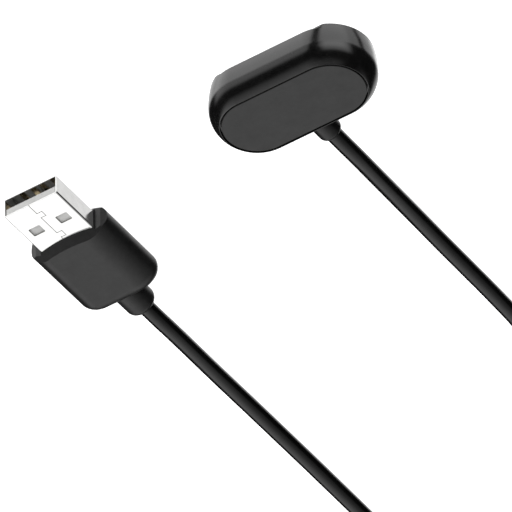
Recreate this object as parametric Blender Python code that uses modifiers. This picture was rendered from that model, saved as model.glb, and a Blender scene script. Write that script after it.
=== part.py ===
"""Charging lead for a fitness tracker: a flat four-contact plug, a thin round cord and a pill-shaped
magnetic dock.

Metres, +Z up. The lead lies on the plane Z = 0 with its dock charging face down and base plate up. The
origin is under the middle of the dock, +X runs along the dock and the cord leaves both ends along +Y.
"""
import math

import bmesh
import bpy
from mathutils import Vector

MM = 0.001

# Clearances
SEAT_GAP = 0.05 * MM        # faces that seat on each other
SIDE_GAP = 0.15 * MM        # a piece beside the wall that it fits in
CORD_GAP = 0.3 * MM         # cord ends and cord coil to their neighbours
MERGE = 0.001 * MM          # points closer than this are one point
OVERSHOOT = 1.0 * MM        # how far a cutter runs past the face that it opens

# Dock body
DOCK_HALF_STRAIGHT = 7.9 * MM   # from the middle to the centre of each round end
DOCK_RADIUS = 9.1 * MM          # widest outline, part of the way down the wall
DOCK_HEIGHT = 9.2 * MM
DOCK_DRAFT = 0.45 * MM          # the wall leans in by this much at the charging face
SHOULDER_DROP = 4.6 * MM        # height of the arc between the wall and the base plate
SHOULDER_INSET = 1.93 * MM      # and how far it leans in
DOCK_EDGE_BREAK = 0.3 * MM
DOCK_FLOOR = 1.2 * MM           # wall between the charging face and the cavity
CHANNEL_DEPTH = 1.1 * MM        # charging face sunk between the two end lips
CHANNEL_HALF_FLAT = 10.2 * MM
CHANNEL_RAMP = 2.0 * MM
PILL_STEPS = 22                 # facets in each round end
SHOULDER_STEPS = 9

# Base plate
PLATE_THICKNESS = 1.0 * MM
PLATE_GROOVE = 0.3 * MM         # open line round the plate
PLATE_LEDGE = 0.75 * MM         # ledge under its rim
GROOVE_CHAMFER = 0.12 * MM

# Spring contacts of the dock
PIN_HALF_PITCH = 2.5 * MM
PIN_PROUD = 0.75 * MM           # tip beyond the charging face when free
PIN_TIP_RADIUS = 0.45 * MM
PIN_FLANGE_RADIUS = 0.62 * MM
PIN_FLANGE_THICKNESS = 0.5 * MM
BARREL_RADIUS = 1.0 * MM
BARREL_BORE_RADIUS = 0.72 * MM
BARREL_MOUTH_RADIUS = 0.55 * MM
BARREL_MOUTH_THICKNESS = 0.35 * MM
BARREL_CROWN = 0.4 * MM
TAIL_RADIUS = 0.3 * MM
TAIL_PROUD = 0.45 * MM          # tail beyond the board
SPRING_RADIUS = 0.52 * MM
SPRING_WIRE_RADIUS = 0.08 * MM
SPRING_TURNS = 7
SPRING_POINTS_PER_TURN = 10
PIN_STEPS = 16

# Pieces held inside the dock
CARRIER_MARGIN = 2.7 * MM       # between the carrier's long sides and the cavity wall
CARRIER_CORNER_GAP = 0.8 * MM   # between its corners and the cavity's round ends
CARRIER_WALL = 0.9 * MM         # round each magnet
MAGNET_SINK = 0.2 * MM          # magnet below the carrier's top
YOKE_THICKNESS = 0.5 * MM
YOKE_MARGIN = 0.6 * MM
YOKE_HOLE_RADIUS = 1.4 * MM
YOKE_AIR = 0.2 * MM             # yoke below the barrels' tops
BOARD_END_MARGIN = 0.4 * MM
BOARD_THICKNESS = 0.8 * MM
BOARD_HOLE_RADIUS = 0.45 * MM
WIRE_ROOM_HEIGHT = 1.4 * MM     # over the board
SOLDER_X = 1.6 * MM             # ends of the wires on the board
SOLDER_Y = 1.2 * MM

# Grommet in the dock's long side
GROMMET_PROTRUSION = 3.9 * MM
GROMMET_ROUNDING = 1.2 * MM
GROMMET_LIP = 0.35 * MM         # its flange beyond its boss
GROMMET_FLANGE_THICKNESS = 1.0 * MM
GROMMET_WALL_GAP = 0.2 * MM     # flange to the cavity wall

# Cord
CORD_RADIUS = 1.65 * MM
WIRE_RADIUS = 0.38 * MM
WIRE_HALF_PITCH = 0.42 * MM     # the two wires side by side under the cord's jacket
WIRE_BORE_RADIUS = 0.95 * MM
CORD_POINT_SPACING = 7.0 * MM
WIRE_POINT_SPACING = 0.8 * MM

# Plug: its frame is at the middle of the nose, Y towards the cord
PLUG_X = 56.0 * MM
PLUG_NOSE_Y = -4.35 * MM
SHELL_WIDTH = 12.0 * MM
SHELL_HEIGHT = 4.5 * MM
SHELL_WALL = 0.3 * MM
SHELL_CORNER = 0.4 * MM
SHELL_LENGTH = 18.5 * MM
SHELL_EXPOSED = 11.65 * MM
WINDOW_LENGTH = 2.1 * MM        # latch windows
WINDOW_WIDTH = 2.5 * MM
WINDOW_Y = 6.45 * MM
WINDOW_X = 3.05 * MM
INSULATOR_FRONT = 0.1 * MM     # tongue set back from the nose
INSULATOR_THICKNESS = 1.5 * MM
INSULATOR_SINK = 0.3 * MM       # its rear inside the shell's
TONGUE_LENGTH = 11.9 * MM
CONTACT_WIDTH = 1.0 * MM
CONTACT_THICKNESS = 0.2 * MM
CONTACT_PROUD = 0.1 * MM
CONTACT_TAIL = 1.7 * MM         # behind the insulator
POWER_CONTACT_X = 3.5 * MM
DATA_CONTACT_X = 1.0 * MM
POWER_CONTACT_FRONT = 1.35 * MM
DATA_CONTACT_FRONT = 2.35 * MM
INNER_MOULD_LENGTH = 5.2 * MM
INNER_MOULD_SIDE_STEP = 1.0 * MM    # inside the shell's outline
INNER_MOULD_TOP_STEP = 0.25 * MM
GRIP_SIDE_WALL = 2.2 * MM       # overmould beside the shell
GRIP_TOP_WALL = 1.5 * MM        # and over and under it
GRIP_END_WALL = 3.0 * MM
OVERMOULD_LENGTH = 19.6 * MM
GRIP_SIDE_RADIUS = 3.5 * MM
GRIP_REAR_RADIUS = 2.3 * MM
GRIP_FRONT_ROUNDING = 1.2 * MM
WIRE_ROOM_MARGIN = 0.8 * MM
RELIEF_RADIUS = 3.15 * MM
RELIEF_LENGTH = 5.85 * MM
RELIEF_ROUNDING = 1.5 * MM

# Coil of the cord's spare length, and its tie
COIL_X = 36.0 * MM
COIL_Y = 156.0 * MM
COIL_OUTER_RADIUS = 23.4 * MM
COIL_INNER_RADIUS = 7.2 * MM
COIL_HEIGHT = 6.7 * MM
COIL_ROUNDING = 1.4 * MM
COIL_STEPS = 48
TIE_WIDTH = 4.0 * MM
TIE_THICKNESS = 0.5 * MM

# Centre line of the cord where it isn't coiled, in mm, from each end towards the coil. The point ahead of
# each list is at the grommet or the strain relief that the cord leaves.
DOCK_RUN = [(0.0, 17.0, 5.15), (0.15, 22.0, 4.8), (0.7, 29.0, 3.85), (1.35, 37.0, 2.73),
            (1.8, 45.0, 1.98), (2.0, 53.0, 1.7), (2.0, 62.0, 1.67), (2.0, 71.0, 1.67), (2.2, 80.0, 1.67),
            (3.0, 90.0, 1.67), (4.8, 101.0, 1.67), (7.4, 112.0, 1.67), (10.2, 123.0, 1.67),
            (12.7, 134.0, 1.67), (13.9, 143.5, 1.67)]
PLUG_RUN = [(56.0, 38.0, 3.9), (56.1, 43.0, 3.65), (56.5, 50.0, 3.02), (57.0, 58.0, 2.27),
            (57.25, 66.0, 1.82), (57.3, 74.0, 1.68), (57.3, 83.0, 1.67), (57.3, 92.0, 1.67),
            (57.35, 101.0, 1.67), (57.4, 110.0, 1.7), (57.5, 119.0, 1.89), (57.6, 128.0, 2.41),
            (57.7, 136.0, 3.35), (57.7, 143.5, 4.45)]

# Radii and heights inside the dock, which follow from the sizes above
OPENING_RADIUS = DOCK_RADIUS - SHOULDER_INSET - GROOVE_CHAMFER
PLATE_RADIUS = OPENING_RADIUS - PLATE_GROOVE
CAVITY_RADIUS = OPENING_RADIUS - PLATE_LEDGE
CAVITY_FLOOR_Z = CHANNEL_DEPTH + DOCK_FLOOR
LEDGE_Z = DOCK_HEIGHT - PLATE_THICKNESS - 2 * SEAT_GAP
GROMMET_Z = (CAVITY_FLOOR_Z + LEDGE_Z) / 2
GROMMET_FLANGE_RADIUS = (LEDGE_Z - CAVITY_FLOOR_Z) / 2 - SIDE_GAP
GROMMET_RADIUS = GROMMET_FLANGE_RADIUS - GROMMET_LIP
GROMMET_END = DOCK_RADIUS + GROMMET_PROTRUSION
BOARD_TOP_Z = LEDGE_Z - WIRE_ROOM_HEIGHT
BOARD_Z = BOARD_TOP_Z - BOARD_THICKNESS
BARREL_Z = CHANNEL_DEPTH + SEAT_GAP
BARREL_TOP_Z = BOARD_Z - 2 * SEAT_GAP
FLANGE_Z = BARREL_Z + BARREL_MOUTH_THICKNESS + SEAT_GAP
YOKE_Z = BARREL_TOP_Z - YOKE_AIR - YOKE_THICKNESS
CARRIER_Z = CAVITY_FLOOR_Z + SEAT_GAP
CARRIER_TOP_Z = YOKE_Z - SEAT_GAP
CARRIER_HALF_WIDTH = CAVITY_RADIUS - CARRIER_MARGIN
CARRIER_HALF_LENGTH = DOCK_HALF_STRAIGHT + math.sqrt(
    (CAVITY_RADIUS - CARRIER_CORNER_GAP) ** 2 - CARRIER_HALF_WIDTH ** 2)
MAGNET_INNER_X = PIN_HALF_PITCH + BARREL_RADIUS + CARRIER_WALL + 2 * SIDE_GAP
MAGNET_OUTER_X = CARRIER_HALF_LENGTH - CARRIER_WALL - SIDE_GAP
MAGNET_HALF_WIDTH = CARRIER_HALF_WIDTH - CARRIER_WALL - SIDE_GAP

# Sizes and places inside the plug that follow
SHELL_INNER_HALF_HEIGHT = SHELL_HEIGHT / 2 - SHELL_WALL
SHELL_INNER_HALF_WIDTH = SHELL_WIDTH / 2 - SHELL_WALL
TONGUE_TOP = SHELL_INNER_HALF_HEIGHT - SEAT_GAP
TONGUE_UNDERSIDE = TONGUE_TOP - INSULATOR_THICKNESS
CONTACT_Z = TONGUE_UNDERSIDE - CONTACT_PROUD
INSULATOR_REAR = SHELL_LENGTH - INSULATOR_SINK
CONTACT_REAR = INSULATOR_REAR + CONTACT_TAIL
INNER_MOULD_FRONT = SHELL_LENGTH + CORD_GAP
INNER_MOULD_REAR = INNER_MOULD_FRONT + INNER_MOULD_LENGTH
INNER_MOULD_HALF_WIDTH = SHELL_WIDTH / 2 - INNER_MOULD_SIDE_STEP
INNER_MOULD_HALF_HEIGHT = SHELL_HEIGHT / 2 - INNER_MOULD_TOP_STEP
GRIP_HALF_WIDTH = SHELL_WIDTH / 2 + SIDE_GAP + GRIP_SIDE_WALL
GRIP_HALF_HEIGHT = SHELL_HEIGHT / 2 + SIDE_GAP + GRIP_TOP_WALL
GRIP_REAR = SHELL_EXPOSED + OVERMOULD_LENGTH
WIRE_ROOM_START = INNER_MOULD_REAR + SIDE_GAP
WIRE_ROOM_END = GRIP_REAR - GRIP_END_WALL
RELIEF_END = GRIP_REAR + RELIEF_LENGTH
COIL_BASE_Z = TIE_THICKNESS + CORD_GAP


# Scene, collections and materials

def clear_scene():
    """Remove every object that the scene starts with."""
    for stray in list(bpy.data.objects):
        bpy.data.objects.remove(stray, do_unlink=True)


def add_collection(name):
    """Make a collection in the scene."""
    collection = bpy.data.collections.new(name)
    bpy.context.scene.collection.children.link(collection)
    return collection


clear_scene()
PARTS = add_collection("tracker_charging_lead")
CUTTERS = add_collection("cutters")


def finish(name, colour, roughness, metallic=0.0):
    """One Principled material."""
    material = bpy.data.materials.new(name)
    material.use_nodes = True
    shader = material.node_tree.nodes["Principled BSDF"]
    shader.inputs["Base Color"].default_value = (*colour, 1.0)
    shader.inputs["Roughness"].default_value = roughness
    shader.inputs["Metallic"].default_value = metallic
    return material


FINISHES = {
    "gloss_black": finish("gloss_black", (0.012, 0.012, 0.012), 0.18),
    "matt_grey": finish("matt_grey", (0.058, 0.058, 0.058), 0.6),
    "soft_black": finish("soft_black", (0.016, 0.016, 0.016), 0.42),
    "cord_black": finish("cord_black", (0.018, 0.018, 0.018), 0.38),
    "nickel": finish("nickel", (0.83, 0.83, 0.82), 0.22, 1.0),
    "white_plastic": finish("white_plastic", (0.78, 0.78, 0.76), 0.4),
    "natural_plastic": finish("natural_plastic", (0.62, 0.62, 0.58), 0.45),
    "gold": finish("gold", (0.83, 0.62, 0.25), 0.2, 1.0),
    "spring_steel": finish("spring_steel", (0.6, 0.6, 0.6), 0.3, 1.0),
    "magnet": finish("magnet", (0.7, 0.7, 0.7), 0.25, 1.0),
    "yoke_steel": finish("yoke_steel", (0.5, 0.5, 0.5), 0.4, 1.0),
    "board_green": finish("board_green", (0.02, 0.14, 0.06), 0.35),
    "red_wire": finish("red_wire", (0.5, 0.02, 0.02), 0.4),
    "black_wire": finish("black_wire", (0.02, 0.02, 0.02), 0.4),
    "tie_black": finish("tie_black", (0.02, 0.02, 0.02), 0.5),
}


def add_frame(name, location):
    """An empty that a sub-assembly's pieces are placed from."""
    frame = bpy.data.objects.new(name, None)
    frame.location = location
    PARTS.objects.link(frame)
    return frame


DOCK = add_frame("dock_frame", (0.0, 0.0, 0.0))
PLUG = add_frame("plug_frame", (PLUG_X, PLUG_NOSE_Y, GRIP_HALF_HEIGHT))
COIL = add_frame("coil_frame", (COIL_X, COIL_Y, 0.0))


def add_piece(name, data, frame, material=None, location=(0.0, 0.0, 0.0)):
    """Link an object as a named sub-part, or as a cutter where it has no material."""
    piece = bpy.data.objects.new(name, data)
    piece.parent = frame
    piece.location = location
    if material:
        data.materials.append(FINISHES[material])
        PARTS.objects.link(piece)
    else:
        CUTTERS.objects.link(piece)
        piece.hide_render = True
        piece.display_type = "WIRE"
    return piece


def mesh_from(bm, name):
    """Turn a bmesh into a mesh with flat faces flat and round ones smooth."""
    mesh = bpy.data.meshes.new(name)
    bm.to_mesh(mesh)
    bm.free()
    mesh.shade_smooth()
    mesh.set_sharp_from_angle(angle=math.radians(35))
    return mesh


# Modelling tools

def box(name, low, high, frame, material=None, corner=0.0, steps=3):
    """Block between two corners; corner rounds its four edges along Y."""
    low, high = Vector(low), Vector(high)
    bm = bmesh.new()
    bmesh.ops.create_cube(bm, size=1.0)
    bmesh.ops.scale(bm, vec=high - low, verts=bm.verts)
    bmesh.ops.translate(bm, vec=(low + high) / 2, verts=bm.verts)
    if corner:
        along = [edge for edge in bm.edges if abs((edge.verts[0].co - edge.verts[1].co).y) > MERGE]
        bmesh.ops.bevel(bm, geom=along, offset=corner, segments=steps, profile=0.5, affect="EDGES")
    return add_piece(name, mesh_from(bm, name), frame, material)


def turned(name, profile, frame, location, material=None, along_y=False, steps=PIN_STEPS):
    """Turned solid from (radius, height) points that run down the outer side from the axis to the axis."""
    mesh = bpy.data.meshes.new(name)
    points = [(radius, 0.0, height) for radius, height in profile]
    mesh.from_pydata(points, [(i, i + 1) for i in range(len(points) - 1)], [])
    piece = add_piece(name, mesh, frame, material, location)
    screw = piece.modifiers.new("turn", "SCREW")
    screw.steps = steps
    screw.render_steps = steps
    screw.use_merge_vertices = True
    screw.merge_threshold = MERGE
    screw.use_smooth_shade = True
    if along_y:
        piece.rotation_euler = (-math.pi / 2, 0.0, 0.0)
    return piece


def turned_ring(name, profile, frame, location, material, along_y=False, steps=PIN_STEPS):
    """Turned solid with a bore: its closed (radius, height) outline runs down the outer side."""
    return turned(name, profile + profile[:1], frame, location, material, along_y, steps)


def rod(name, radius, start, end, frame, along_y=False, steps=PIN_STEPS):
    """Plain round cutter between two heights along Z, or two places along Y."""
    length = end - (start[1] if along_y else start[2])
    profile = [(0.0, length), (radius, length), (radius, 0.0), (0.0, 0.0)]
    return turned(name, profile, frame, start, None, along_y, steps)


def pill_outline(half_straight, radius, steps=PILL_STEPS):
    """Points round a pill, anticlockwise."""
    points = []
    for side in (1, -1):
        for i in range(steps + 1):
            angle = math.pi * (i / steps - 0.5)
            x, y = half_straight + radius * math.cos(angle), radius * math.sin(angle)
            points.append((side * x, side * y))
    return points


def circle_outline(centre_x, centre_y, radius, steps=PIN_STEPS):
    """Points round a circle."""
    angles = [2 * math.pi * i / steps for i in range(steps)]
    return [(centre_x + radius * math.cos(a), centre_y + radius * math.sin(a)) for a in angles]


def rectangle_outline(half_length, half_width):
    """Corners of a rectangle round the origin."""
    return [(-half_length, -half_width), (half_length, -half_width),
            (half_length, half_width), (-half_length, half_width)]


def flat_plate(name, outlines, base_z, thickness, frame, material):
    """Plate of one outline with the others as its holes."""
    curve = bpy.data.curves.new(name, "CURVE")
    curve.dimensions = "2D"
    curve.fill_mode = "BOTH"
    curve.extrude = thickness / 2
    for outline in outlines:
        spline = curve.splines.new("POLY")
        spline.points.add(len(outline) - 1)
        for point, (x, y) in zip(spline.points, outline):
            point.co = (x, y, 0.0, 1.0)
        spline.use_cyclic_u = True
    return add_piece(name, curve, frame, material, (0.0, 0.0, base_z + thickness / 2))


def smooth_route(points, spacing):
    """Read evenly spaced points from the smooth curve through a route's own points."""
    route = [Vector(point) for point in points]
    route = [2 * route[0] - route[1]] + route + [2 * route[-1] - route[-2]]
    fine = []
    for a, b, c, d in zip(route, route[1:], route[2:], route[3:]):
        for i in range(20):
            t = i / 20
            fine.append(0.5 * (2 * b + (c - a) * t + (2 * a - 5 * b + 4 * c - d) * t ** 2
                               + (3 * b - a - 3 * c + d) * t ** 3))
    fine.append(route[-2])
    reach = [0.0]
    for before, after in zip(fine, fine[1:]):
        reach.append(reach[-1] + (after - before).length)
    count = max(3, round(reach[-1] / spacing))
    even, place = [], 0
    for i in range(count + 1):
        target = reach[-1] * i / count
        while place < len(reach) - 2 and reach[place + 1] < target:
            place += 1
        share = (target - reach[place]) / (reach[place + 1] - reach[place])
        even.append(fine[place].lerp(fine[place + 1], min(1.0, share)))
    return even


def tube(name, points, radius, frame, material, resolution=2, location=(0.0, 0.0, 0.0)):
    """Round tube along points, with filled ends."""
    curve = bpy.data.curves.new(name, "CURVE")
    curve.dimensions = "3D"
    curve.bevel_depth = radius
    curve.bevel_resolution = resolution
    curve.use_fill_caps = True
    spline = curve.splines.new("POLY")
    spline.points.add(len(points) - 1)
    for point, place in zip(spline.points, points):
        point.co = (*place, 1.0)
    return add_piece(name, curve, frame, material, location)


def pill_solid(name, profile, half_straight, frame, material):
    """Solid with a pill-shaped plan: a (radius, height) profile from axis to axis is spun half a turn
    about the centre of one round end, carried straight to the middle and mirrored."""
    bm = bmesh.new()
    verts = [bm.verts.new((half_straight, -radius, height)) for radius, height in profile]
    edges = [bm.edges.new(pair) for pair in zip(verts, verts[1:])]
    bmesh.ops.spin(bm, geom=verts + edges, cent=(half_straight, 0.0, 0.0), axis=(0.0, 0.0, 1.0),
                   angle=math.pi, steps=PILL_STEPS)
    bmesh.ops.remove_doubles(bm, verts=bm.verts, dist=MERGE)
    open_edges = [edge for edge in bm.edges if edge.is_boundary]
    grown = bmesh.ops.extrude_edge_only(bm, edges=open_edges)
    for vert in (item for item in grown["geom"] if isinstance(item, bmesh.types.BMVert)):
        vert.co.x = 0.0
    bmesh.ops.mirror(bm, geom=bm.verts[:] + bm.edges[:] + bm.faces[:], axis="X", merge_dist=MERGE)
    bmesh.ops.recalc_face_normals(bm, faces=bm.faces)
    return add_piece(name, mesh_from(bm, name), frame, material)


def combine(piece, tool, operation="DIFFERENCE"):
    """Cut a piece with a tool, or join the tool to it."""
    modifier = piece.modifiers.new(tool.name, "BOOLEAN")
    modifier.operation = operation
    modifier.object = tool


def quarter_round(centre_radius, centre_height, rounding, start, end, steps=4):
    """(radius, height) points along an arc between two angles in degrees."""
    angles = [math.radians(start + (end - start) * i / steps) for i in range(steps + 1)]
    return [(centre_radius + rounding * math.cos(a), centre_height + rounding * math.sin(a)) for a in angles]


# Dock

def dock_wall_profile():
    """Outside of the dock from the plate opening down to the charging face: an arc, then a drafted wall."""
    arc_radius = (SHOULDER_INSET ** 2 + SHOULDER_DROP ** 2) / (2 * SHOULDER_INSET)
    start = math.asin(SHOULDER_DROP / arc_radius)
    shoulder_z = DOCK_HEIGHT - SHOULDER_DROP
    points = []
    for i in range(SHOULDER_STEPS + 1):
        angle = start * (1 - i / SHOULDER_STEPS)
        inset, rise = arc_radius * (1 - math.cos(angle)), arc_radius * math.sin(angle)
        points.append((DOCK_RADIUS - inset, shoulder_z + rise))
    rim = DOCK_RADIUS - DOCK_DRAFT
    return points + [(rim, DOCK_EDGE_BREAK), (rim - DOCK_EDGE_BREAK, 0.0)]


def make_dock_body():
    """Pill-shaped cup, open at the plate side, with a sunk charging face between two end lips."""
    inside = [(0.0, CAVITY_FLOOR_Z), (CAVITY_RADIUS, CAVITY_FLOOR_Z), (CAVITY_RADIUS, LEDGE_Z),
              (OPENING_RADIUS, LEDGE_Z), (OPENING_RADIUS, DOCK_HEIGHT - GROOVE_CHAMFER)]
    profile = inside + dock_wall_profile() + [(0.0, 0.0)]
    body = pill_solid("dock_body", profile, DOCK_HALF_STRAIGHT, DOCK, "gloss_black")
    combine(body, make_channel_cutter())
    for side in (-1, 1):
        start = (side * PIN_HALF_PITCH, 0.0, -OVERSHOOT)
        hole = rod(f"pin_hole_{side}", BARREL_RADIUS + SIDE_GAP, start, CAVITY_FLOOR_Z + OVERSHOOT, DOCK)
        combine(body, hole)
    start = (0.0, CAVITY_RADIUS - OVERSHOOT, GROMMET_Z)
    hole = rod("grommet_hole", GROMMET_RADIUS + SIDE_GAP, start, DOCK_RADIUS + OVERSHOOT, DOCK, True, 24)
    combine(body, hole)


def make_channel_cutter():
    """Block with sloped ends that sinks the charging face across the whole width."""
    slope = CHANNEL_RAMP / CHANNEL_DEPTH
    half_width = DOCK_RADIUS + OVERSHOOT
    base_half = CHANNEL_HALF_FLAT + slope * (CHANNEL_DEPTH + OVERSHOOT)
    low = (-base_half, -half_width, -OVERSHOOT)
    cutter = box("channel", low, (base_half, half_width, CHANNEL_DEPTH), DOCK)
    for vert in cutter.data.vertices:
        if vert.co.z > 0:
            vert.co.x = math.copysign(CHANNEL_HALF_FLAT, vert.co.x)
    return cutter


def make_base_plate():
    """Flat inset plate that the dock stands on in use, with an open groove all round."""
    outline = pill_outline(DOCK_HALF_STRAIGHT, PLATE_RADIUS)
    flat_plate("dock_base_plate", [outline], LEDGE_Z + SEAT_GAP, PLATE_THICKNESS, DOCK, "matt_grey")


def make_grommet():
    """Round boss that guides the cord out of the dock's long side; its flange holds it inside the wall."""
    flange_outer = CAVITY_RADIUS - GROMMET_WALL_GAP
    flange_inner = flange_outer - GROMMET_FLANGE_THICKNESS
    end = quarter_round(GROMMET_RADIUS - GROMMET_ROUNDING, GROMMET_END - GROMMET_ROUNDING,
                        GROMMET_ROUNDING, 90, 0)
    outline = [(WIRE_BORE_RADIUS, GROMMET_END)] + end + [
        (GROMMET_RADIUS, flange_outer), (GROMMET_FLANGE_RADIUS, flange_outer),
        (GROMMET_FLANGE_RADIUS, flange_inner), (WIRE_BORE_RADIUS, flange_inner)]
    turned_ring("dock_grommet", outline, DOCK, (0.0, 0.0, GROMMET_Z), "soft_black", True, 24)


def make_pin_carrier():
    """Block that locates both spring contacts and both magnets."""
    low = (-CARRIER_HALF_LENGTH, -CARRIER_HALF_WIDTH, CARRIER_Z)
    high = (CARRIER_HALF_LENGTH, CARRIER_HALF_WIDTH, CARRIER_TOP_Z)
    carrier = box("pin_carrier", low, high, DOCK, "natural_plastic")
    for side in (-1, 1):
        start = (side * PIN_HALF_PITCH, 0.0, CARRIER_Z - OVERSHOOT)
        hole = rod(f"carrier_hole_{side}", BARREL_RADIUS + SIDE_GAP, start, CARRIER_TOP_Z + OVERSHOOT, DOCK)
        combine(carrier, hole)
        ends = sorted((side * (MAGNET_INNER_X - SIDE_GAP), side * (MAGNET_OUTER_X + SIDE_GAP)))
        half_width = MAGNET_HALF_WIDTH + SIDE_GAP
        pocket = box(f"magnet_pocket_{side}", (ends[0], -half_width, CARRIER_Z - OVERSHOOT),
                     (ends[1], half_width, CARRIER_TOP_Z + OVERSHOOT), DOCK)
        combine(carrier, pocket)


def make_magnets():
    """Two block magnets that hold the dock to the tracker."""
    for side, name in ((-1, "magnet_left"), (1, "magnet_right")):
        ends = sorted((side * MAGNET_INNER_X, side * MAGNET_OUTER_X))
        low = (ends[0], -MAGNET_HALF_WIDTH, CARRIER_Z)
        high = (ends[1], MAGNET_HALF_WIDTH, CARRIER_TOP_Z - MAGNET_SINK)
        box(name, low, high, DOCK, "magnet")


def make_yoke():
    """Steel strip that joins the backs of the two magnets, with room round each spring contact."""
    holes = [circle_outline(side * PIN_HALF_PITCH, 0.0, YOKE_HOLE_RADIUS) for side in (-1, 1)]
    outline = rectangle_outline(CARRIER_HALF_LENGTH - YOKE_MARGIN, CARRIER_HALF_WIDTH - YOKE_MARGIN)
    flat_plate("magnet_yoke", [outline] + holes, YOKE_Z, YOKE_THICKNESS, DOCK, "yoke_steel")


def make_board():
    """Circuit board on the backs of the spring contacts, whose tails pass through it."""
    holes = [circle_outline(side * PIN_HALF_PITCH, 0.0, BOARD_HOLE_RADIUS) for side in (-1, 1)]
    outline = rectangle_outline(DOCK_HALF_STRAIGHT - BOARD_END_MARGIN, CARRIER_HALF_WIDTH)
    flat_plate("dock_circuit_board", [outline] + holes, BOARD_Z, BOARD_THICKNESS, DOCK, "board_green")


def make_spring_contact(side, label):
    """Barrel, plunger and spring of one contact; the plunger slides along the barrel's axis."""
    location = (side * PIN_HALF_PITCH, 0.0, 0.0)
    crown_z = BARREL_TOP_Z - BARREL_CROWN
    tail_z = BOARD_TOP_Z + TAIL_PROUD
    barrel = [(0.0, tail_z), (TAIL_RADIUS, tail_z),
              (TAIL_RADIUS, BARREL_TOP_Z), (BARREL_RADIUS, BARREL_TOP_Z), (BARREL_RADIUS, BARREL_Z),
              (BARREL_MOUTH_RADIUS, BARREL_Z), (BARREL_MOUTH_RADIUS, BARREL_Z + BARREL_MOUTH_THICKNESS),
              (BARREL_BORE_RADIUS, BARREL_Z + BARREL_MOUTH_THICKNESS), (BARREL_BORE_RADIUS, crown_z),
              (0.0, crown_z)]
    turned(f"pin_barrel_{label}", barrel, DOCK, location, "gold")
    tip_z = CHANNEL_DEPTH - PIN_PROUD
    flange_top = FLANGE_Z + PIN_FLANGE_THICKNESS
    nose = quarter_round(0.0, tip_z + PIN_TIP_RADIUS, PIN_TIP_RADIUS, 0, -90)
    plunger = [(0.0, flange_top), (PIN_FLANGE_RADIUS, flange_top), (PIN_FLANGE_RADIUS, FLANGE_Z),
               (PIN_TIP_RADIUS, FLANGE_Z)] + nose[:-1] + [(0.0, tip_z)]
    turned(f"pin_plunger_{label}", plunger, DOCK, location, "gold")
    low = flange_top + SEAT_GAP + SPRING_WIRE_RADIUS
    high = crown_z - SEAT_GAP - SPRING_WIRE_RADIUS
    count = SPRING_TURNS * SPRING_POINTS_PER_TURN
    helix = []
    for i in range(count + 1):
        angle = 2 * math.pi * i / SPRING_POINTS_PER_TURN
        height = low + (high - low) * i / count
        helix.append((SPRING_RADIUS * math.cos(angle), SPRING_RADIUS * math.sin(angle), height))
    tube(f"pin_spring_{label}", helix, SPRING_WIRE_RADIUS, DOCK, "spring_steel", 1, location)


def make_dock_wires():
    """Two wires from the cord, through the grommet and up to the top of the board."""
    pad_z = BOARD_TOP_Z + WIRE_RADIUS + SEAT_GAP
    rise = pad_z - GROMMET_Z
    edge_y = CARRIER_HALF_WIDTH + WIRE_RADIUS
    inward = edge_y - SOLDER_Y
    flange_y = CAVITY_RADIUS - GROMMET_WALL_GAP - GROMMET_FLANGE_THICKNESS
    for side, name in ((-1, "dock_wire_red"), (1, "dock_wire_black")):
        route = [(side * WIRE_HALF_PITCH, GROMMET_END - SEAT_GAP, GROMMET_Z),
                 (side * WIRE_HALF_PITCH, DOCK_RADIUS, GROMMET_Z),
                 (side * WIRE_HALF_PITCH, flange_y + 0.1 * MM, GROMMET_Z),
                 (side * 0.5 * MM, edge_y + 0.52 * MM, GROMMET_Z + 0.13 * rise),
                 (side * 0.65 * MM, edge_y + 0.2 * MM, GROMMET_Z + 0.52 * rise),
                 (side * 0.85 * MM, edge_y + 0.05 * MM, pad_z - 0.05 * rise),
                 (side * 1.1 * MM, edge_y - 0.22 * inward, pad_z + 0.08 * rise),
                 (side * 1.4 * MM, edge_y - 0.58 * inward, pad_z + 0.04 * rise),
                 (side * SOLDER_X, SOLDER_Y, pad_z)]
        material = "red_wire" if side < 0 else "black_wire"
        tube(name, smooth_route(route, WIRE_POINT_SPACING), WIRE_RADIUS, DOCK, material)


# Plug

def make_shell():
    """Folded metal shell, open at both ends, with latch windows in both wide faces."""
    half_width, half_height = SHELL_WIDTH / 2, SHELL_HEIGHT / 2
    shell = box("plug_shell", (-half_width, 0.0, -half_height), (half_width, SHELL_LENGTH, half_height),
                PLUG, "nickel", SHELL_CORNER)
    low = (-SHELL_INNER_HALF_WIDTH, -OVERSHOOT, -SHELL_INNER_HALF_HEIGHT)
    high = (SHELL_INNER_HALF_WIDTH, SHELL_LENGTH + OVERSHOOT, SHELL_INNER_HALF_HEIGHT)
    combine(shell, box("shell_inside", low, high, PLUG, None, SHELL_CORNER - SHELL_WALL))
    for side in (-1, 1):
        centre = side * WINDOW_X
        low = (centre - WINDOW_WIDTH / 2, WINDOW_Y - WINDOW_LENGTH / 2, -SHELL_HEIGHT)
        high = (centre + WINDOW_WIDTH / 2, WINDOW_Y + WINDOW_LENGTH / 2, SHELL_HEIGHT)
        combine(shell, box(f"latch_window_{side}", low, high, PLUG))


def contact_places():
    """Name, place across the plug and front end of each contact."""
    return (("contact_supply", -POWER_CONTACT_X, POWER_CONTACT_FRONT),
            ("contact_data_minus", -DATA_CONTACT_X, DATA_CONTACT_FRONT),
            ("contact_data_plus", DATA_CONTACT_X, DATA_CONTACT_FRONT),
            ("contact_ground", POWER_CONTACT_X, POWER_CONTACT_FRONT))


def contact_channel(label, centre, front, rear):
    """Cutter that gives one contact its clearance."""
    half = CONTACT_WIDTH / 2 + 2 * SEAT_GAP
    low = (centre - half, front, CONTACT_Z - 2 * SEAT_GAP)
    high = (centre + half, rear, CONTACT_Z + CONTACT_THICKNESS + 2 * SEAT_GAP)
    return box(label, low, high, PLUG)


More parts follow.
